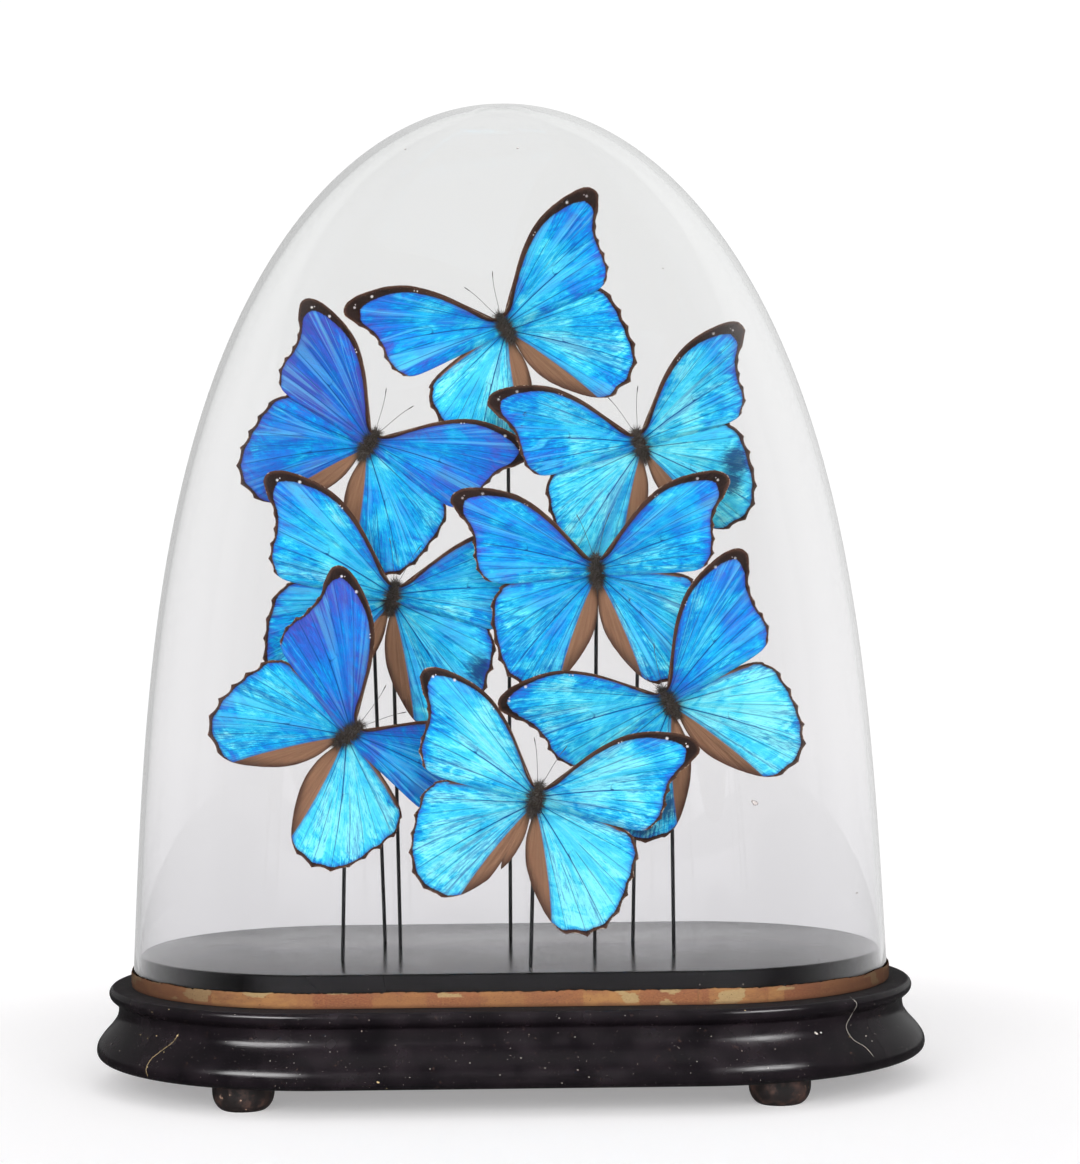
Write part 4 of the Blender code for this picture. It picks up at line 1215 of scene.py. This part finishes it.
def furTree():
    # hairs scattered on a body, leaning back from the head, as short thin cones
    tree = bpy.data.node_groups.new("bodyFur", "GeometryNodeTree")
    for name, kind, value in (("Geometry", "NodeSocketGeometry", None), ("Density", "NodeSocketFloat", 1.0),
                              ("Length", "NodeSocketFloat", 0.001), ("Width", "NodeSocketFloat", 0.0001),
                              ("Seed", "NodeSocketInt", 0)):
        socket = tree.interface.new_socket(name, in_out="INPUT", socket_type=kind)
        if value is not None:
            socket.default_value = value
    tree.interface.new_socket("Geometry", in_out="OUTPUT", socket_type="NodeSocketGeometry")
    given = addNode(tree, "NodeGroupInput").outputs
    points = addNode(tree, "GeometryNodeDistributePointsOnFaces",
                     {"Mesh": given["Geometry"], "Density": given["Density"], "Seed": given["Seed"]})
    cone = addNode(tree, "GeometryNodeMeshCone", {"Vertices": 3, "Radius Top": 0.0, "Radius Bottom": given["Width"],
                                                   "Depth": given["Length"]}, fill_type="NONE")
    lean = addNode(tree, "FunctionNodeRandomValue", {0: (-0.75, -0.75, -3.0), 1: (0.75, 0.75, 3.0),
                                                      "Seed": given["Seed"]}, data_type="FLOAT_VECTOR")
    turned = addNode(tree, "FunctionNodeRotateRotation", {0: points.outputs["Rotation"]}, rotation_space="LOCAL")
    asRotation = addNode(tree, "FunctionNodeEulerToRotation", {0: lean.outputs[0]})
    tree.links.new(asRotation.outputs[0], turned.inputs[1])
    size = addNode(tree, "FunctionNodeRandomValue", {2: 0.5, 3: 1.25, "Seed": given["Seed"]}, data_type="FLOAT")
    placed = addNode(tree, "GeometryNodeInstanceOnPoints",
                     {"Points": points.outputs["Points"], "Instance": cone.outputs["Mesh"],
                      "Rotation": turned.outputs[0], "Scale": size.outputs[1]})
    real = addNode(tree, "GeometryNodeRealizeInstances", {0: placed.outputs[0]})
    coloured = addNode(tree, "GeometryNodeSetMaterial", {"Geometry": real.outputs[0], "Material": finish["fur"]})
    out = addNode(tree, "NodeGroupOutput")
    tree.links.new(coloured.outputs[0], out.inputs[0])
    return tree


def meshPart(mesh, finishIndex):
    verts = np.empty(len(mesh.vertices) * 3)
    mesh.vertices.foreach_get("co", verts)
    return {"verts": verts.reshape(-1, 3) / mm, "faces": [tuple(p.vertices) for p in mesh.polygons],
            "finish": finishIndex}


furNodes = furTree()
bareBody = joinParts("bareBody", [bodyPart()], [finish["chitin"]])

wearMarks = {
    # specimen, wing, side: worn patches (x, z, radius), notches (place on the outline, width, depth) and patches of
    # painted shade (x, z, radius) where another specimen's wing lies in front
    (3, "fore", -1): {"worn": [(50, 34, 1.3), (44, 36, 0.8), (53, 29, 0.7)]},
    (4, "fore", 1): {"worn": [(22, 27, 0.9), (27, 30, 0.7)]},
    (5, "fore", -1): {"worn": [(50, 0.2, 2.6), (43, -1.0, 1.6)], "notches": [(0.735, 0.02, 2.0), (0.76, 0.012, 1.8)]},
    (5, "hind", 1): {"worn": [(13, -7, 0.9), (16, -12, 1.1), (19, -16, 0.7)]},
    (5, "fore", 1): {"worn": [(16, 6, 0.6)]},
    (8, "hind", -1): {"notches": [(0.80, 0.011, 7.0)]},
    (3, "hind", 1): {"paintedShadePatches": [(45, -22, 11), (39, -31, 9)]},
    (4, "hind", 1): {"paintedShadePatches": [(49, -22, 11), (45, -35, 11), (40, -44, 8)]},
    (6, "hind", -1): {"paintedShadePatches": [(38, -44, 12), (24, -40, 10)]},
}


def placed(part, specimen):
    turn = Euler((radians(pitch), radians(specimen["tilt"]), radians(specimen["turn"])), "XYZ").to_matrix()
    part["verts"] = part["verts"] @ np.array(turn).T + specimen["at"]
    return part


def butterfly(number, specimen):
    parts = []
    for index, side in enumerate((-1, 1)):
        for kind in ("hind", "fore"):
            marks = wearMarks.get((number, kind, side), {})
            parts.append(wingPart(kind, side, specimen[kind][index], specimen["lift"][index],
                                  specimen["size"] * specimen["trims"][index + (2 if kind == "hind" else 0)],
                                  number * 7.3 + side + (3 if kind == "hind" else 0),
                                  specimen["sheenTones"][index + (2 if kind == "hind" else 0)], specimen["rims"][index],
                                  marks.get("worn", ()), marks.get("notches", ()), marks.get("paintedShadePatches", ())))
        parts += [antennaPart(side), eyePart(side)]
    parts.append(bodyPart())
    parts += legParts()
    fur = nodesResult(bareBody, furNodes, {"Density": body["hairDensity"], "Length": body["hairLength"] * mm,
                                           "Width": body["hairWidth"] * mm, "Seed": number})
    parts.append(meshPart(fur, 2))
    parts = [placed(part, specimen) for part in parts]
    piece = joinParts(f"butterfly{number}", parts,
                      [finish["scales"], finish["underside"], finish["fur"], finish["chitin"]], sharp=65.0)
    dress(piece, "morpho_wing", f"butterfly_{number}")


rod = {"radius": 0.9, "behind": 7.0, "sides": 20, "foot": 60.3, "tip": 5.1}


def uprightRod(number, specimen):
    x, y, z = specimen["at"]
    back = y + rod["behind"]
    path = [(specimen["rodX"], back, rod["foot"]), (x, back, z - 1.0), (x, back - 0.25, z + 0.6),
            (x, back - 0.9, z + 1.6), (x, y + rod["tip"], z + 1.9)]
    piece = joinParts(f"rod{number}", [tubePart(path, rod["radius"], rod["sides"])], [finish["wire"]])
    dress(piece, "black_rod", f"rod_{number}")


for number, specimen in enumerate(specimens, start=1):
    butterfly(number, specimen)
    uprightRod(number, specimen)
    print("butterfly and rod", number)
bpy.data.objects.remove(bareBody)


# Studio: white paper, even light and the photograph's view

studio = {
    "floorRadius": 0.58,
    "backdrop": 1.06,                # white paper behind and around
    "frontDark": 0.07,               # the dark half of the room that the polish and the glass mirror
    # softboxes: azimuth from the front and elevation in degrees, half width and half height, brightness
    "softboxes": [(-38, 35, 17, 10.5, 18.0), (41, 35, 12.5, 10.5, 17.0), (0, 80, 14, 14, 0.3)],
    # broad glow of each light's surroundings: azimuth, elevation, brightness
    "glow": [(-22, 11, 9.5), (22, 11, 8.3), (0, 65, 0.8)],
    "roomFill": 0.35,                # the room's brightness for rough surfaces
    "gleam": 0.25,                   # share of the glow that the wings' lustre mirrors
    "insideGain": 1.12,              # light that reaches the butterflies through the glass
    # how bright the glass mirrors the room at its left and right, and how bright the black polish does
    "glassSides": (0.6, 0.85),
    "polishSides": (0.16, 0.34),
    "paperMirrored": 0.22,
}


def roomWorld():
    # White paper for everything that looks straight at it. Mirror images see the room as it is: the
    # paper fills the back half, the front half is dark, and softboxes stand left and right of the lens.
    world = bpy.data.worlds.new("whiteStudio")
    scene.world = world
    world.use_nodes = True
    tree = world.node_tree
    ray = addNode(tree, "ShaderNodeLightPath").outputs
    toward = addNode(tree, "ShaderNodeTexCoord").outputs["Generated"]
    parts = addNode(tree, "ShaderNodeSeparateXYZ", {0: toward}).outputs
    boxes = 0.0
    for azimuth, elevation, halfWidth, halfHeight, power in studio["softboxes"]:
        seen = addNode(tree, "ShaderNodeMapping", {"Vector": toward, "Rotation": (0, 0, -radians(azimuth))})
        seen = addNode(tree, "ShaderNodeMapping", {"Vector": seen.outputs[0], "Rotation": (radians(elevation), 0, 0),
                                                   "Scale": (1, 1, 1)}).outputs[0]
        local = addNode(tree, "ShaderNodeSeparateXYZ", {0: seen}).outputs
        wide = mathNode(tree, "DIVIDE", local[0], sin(radians(halfWidth)))
        high = mathNode(tree, "DIVIDE", local[2], sin(radians(halfHeight)))
        wide = mathNode(tree, "POWER", mathNode(tree, "ABSOLUTE", wide), 3.0)
        high = mathNode(tree, "POWER", mathNode(tree, "ABSOLUTE", high), 3.0)
        inside = mathNode(tree, "SUBTRACT", 1.0, step(tree, mathNode(tree, "ADD", wide, high), 0.3, 1.5))
        ahead = mathNode(tree, "LESS_THAN", local[1], 0.0)
        boxes = mathNode(tree, "ADD", boxes, mathNode(tree, "MULTIPLY", mathNode(tree, "MULTIPLY", inside, ahead),
                                                      power))
    # a path with a mirror bounce and no rough one shows the room; behind four glass faces it is something
    # inside the dome that gleams, and with fewer it is the glass itself
    mirrored = mathNode(tree, "MULTIPLY", mathNode(tree, "GREATER_THAN", ray["Glossy Depth"], 0.5),
                        mathNode(tree, "LESS_THAN", ray["Diffuse Depth"], 0.5))
    inside = mathNode(tree, "GREATER_THAN", ray["Transmission Depth"], 3.5)
    outside = mathNode(tree, "MULTIPLY", mathNode(tree, "LESS_THAN", ray["Transmission Depth"], 0.5),
                       mathNode(tree, "SUBTRACT", 1.0, ray["Is Singular Ray"]))
    behind = step(tree, parts[1], -0.75, 0.45)
    room = addNode(tree, "ShaderNodeMapRange", {0: behind, 3: studio["frontDark"], 4: studio["backdrop"]}).outputs[0]
    # seen low in the polish, the paper round the base is half in its own shadow
    low = mathNode(tree, "MULTIPLY", mathNode(tree, "LESS_THAN", parts[2], -0.02), outside)
    room = addNode(tree, "ShaderNodeMix", {0: low, 2: room, 3: studio["paperMirrored"]}).outputs[0]
    glass = mathNode(tree, "MULTIPLY", mathNode(tree, "SUBTRACT", 1.0, inside), mathNode(tree, "SUBTRACT", 1.0, outside))
    for chosen, name in ((glass, "glassSides"), (outside, "polishSides")):
        left, right = studio[name]
        share = addNode(tree, "ShaderNodeMapRange", {0: parts[0], 1: -0.7, 2: 0.7, 3: left, 4: right},
                        interpolation_type="SMOOTHSTEP").outputs[0]
        dimmed = mathNode(tree, "MULTIPLY", room, share)
        room = addNode(tree, "ShaderNodeMix", {0: chosen, 2: room, 3: dimmed}).outputs[0]
    broad = 0.0
    for azimuth, elevation, power in studio["glow"]:
        aim = (sin(radians(azimuth)) * cos(radians(elevation)), -cos(radians(azimuth)) * cos(radians(elevation)),
               sin(radians(elevation)))
        facing = addNode(tree, "ShaderNodeVectorMath", {0: toward, 1: aim}, operation="DOT_PRODUCT")
        lobe = mathNode(tree, "MULTIPLY", step(tree, facing.outputs["Value"], 0.85, 1.0), power)
        broad = mathNode(tree, "ADD", broad, lobe)
    polished = mathNode(tree, "ADD", room, mathNode(tree, "MULTIPLY", boxes, outside))
    gleam = mathNode(tree, "MULTIPLY", mathNode(tree, "MULTIPLY", broad, inside), studio["gleam"])
    polished = mathNode(tree, "ADD", polished, gleam)
    open_ = mathNode(tree, "ADD", studio["roomFill"], broad)
    through = mathNode(tree, "MULTIPLY", mathNode(tree, "GREATER_THAN", ray["Transmission Depth"], 0.5),
                       mathNode(tree, "GREATER_THAN", ray["Diffuse Depth"], 0.5))
    open_ = addNode(tree, "ShaderNodeMix", {0: through, 2: open_, 3: mathNode(tree, "MULTIPLY", open_, studio["insideGain"])}
                    ).outputs[0]
    seen = mathNode(tree, "LESS_THAN", ray["Diffuse Depth"], 0.5)
    open_ = addNode(tree, "ShaderNodeMix", {0: seen, 2: open_, 3: studio["backdrop"]}).outputs[0]
    light = addNode(tree, "ShaderNodeMix", {0: mirrored, 2: open_, 3: polished}).outputs[0]
    background = tree.nodes["Background"]
    background.inputs[0].default_value = (1, 1, 1, 1)
    tree.links.new(light, background.inputs[1])


def paperFloor():
    sides = 96
    ring = [(studio["floorRadius"] * cos(2 * pi * k / sides), studio["floorRadius"] * sin(2 * pi * k / sides), 0)
            for k in range(sides)]
    mesh = bpy.data.meshes.new("paperFloor")
    mesh.from_pydata(ring, [], [tuple(range(sides))])
    mesh.materials.append(finish["floor"])
    floor = bpy.data.objects.new("paperFloor", mesh)
    scene.collection.objects.link(floor)
    floor.visible_glossy = False     # the world gives the paper's mirror image, without its shadows


roomWorld()
paperFloor()

def photoCamera():
    data = bpy.data.cameras.new("photoCamera")
    data.sensor_width = view["sensor"]
    data.lens = view["focalPixels"] / view["imageHeight"] * view["sensor"]
    data.clip_end = 50.0
    camera = bpy.data.objects.new("photoCamera", data)
    camera.matrix_world = viewMatrix()
    scene.collection.objects.link(camera)
    scene.camera = camera


photoCamera()
scene.view_settings.view_transform = "Standard"
print("studio and camera set")
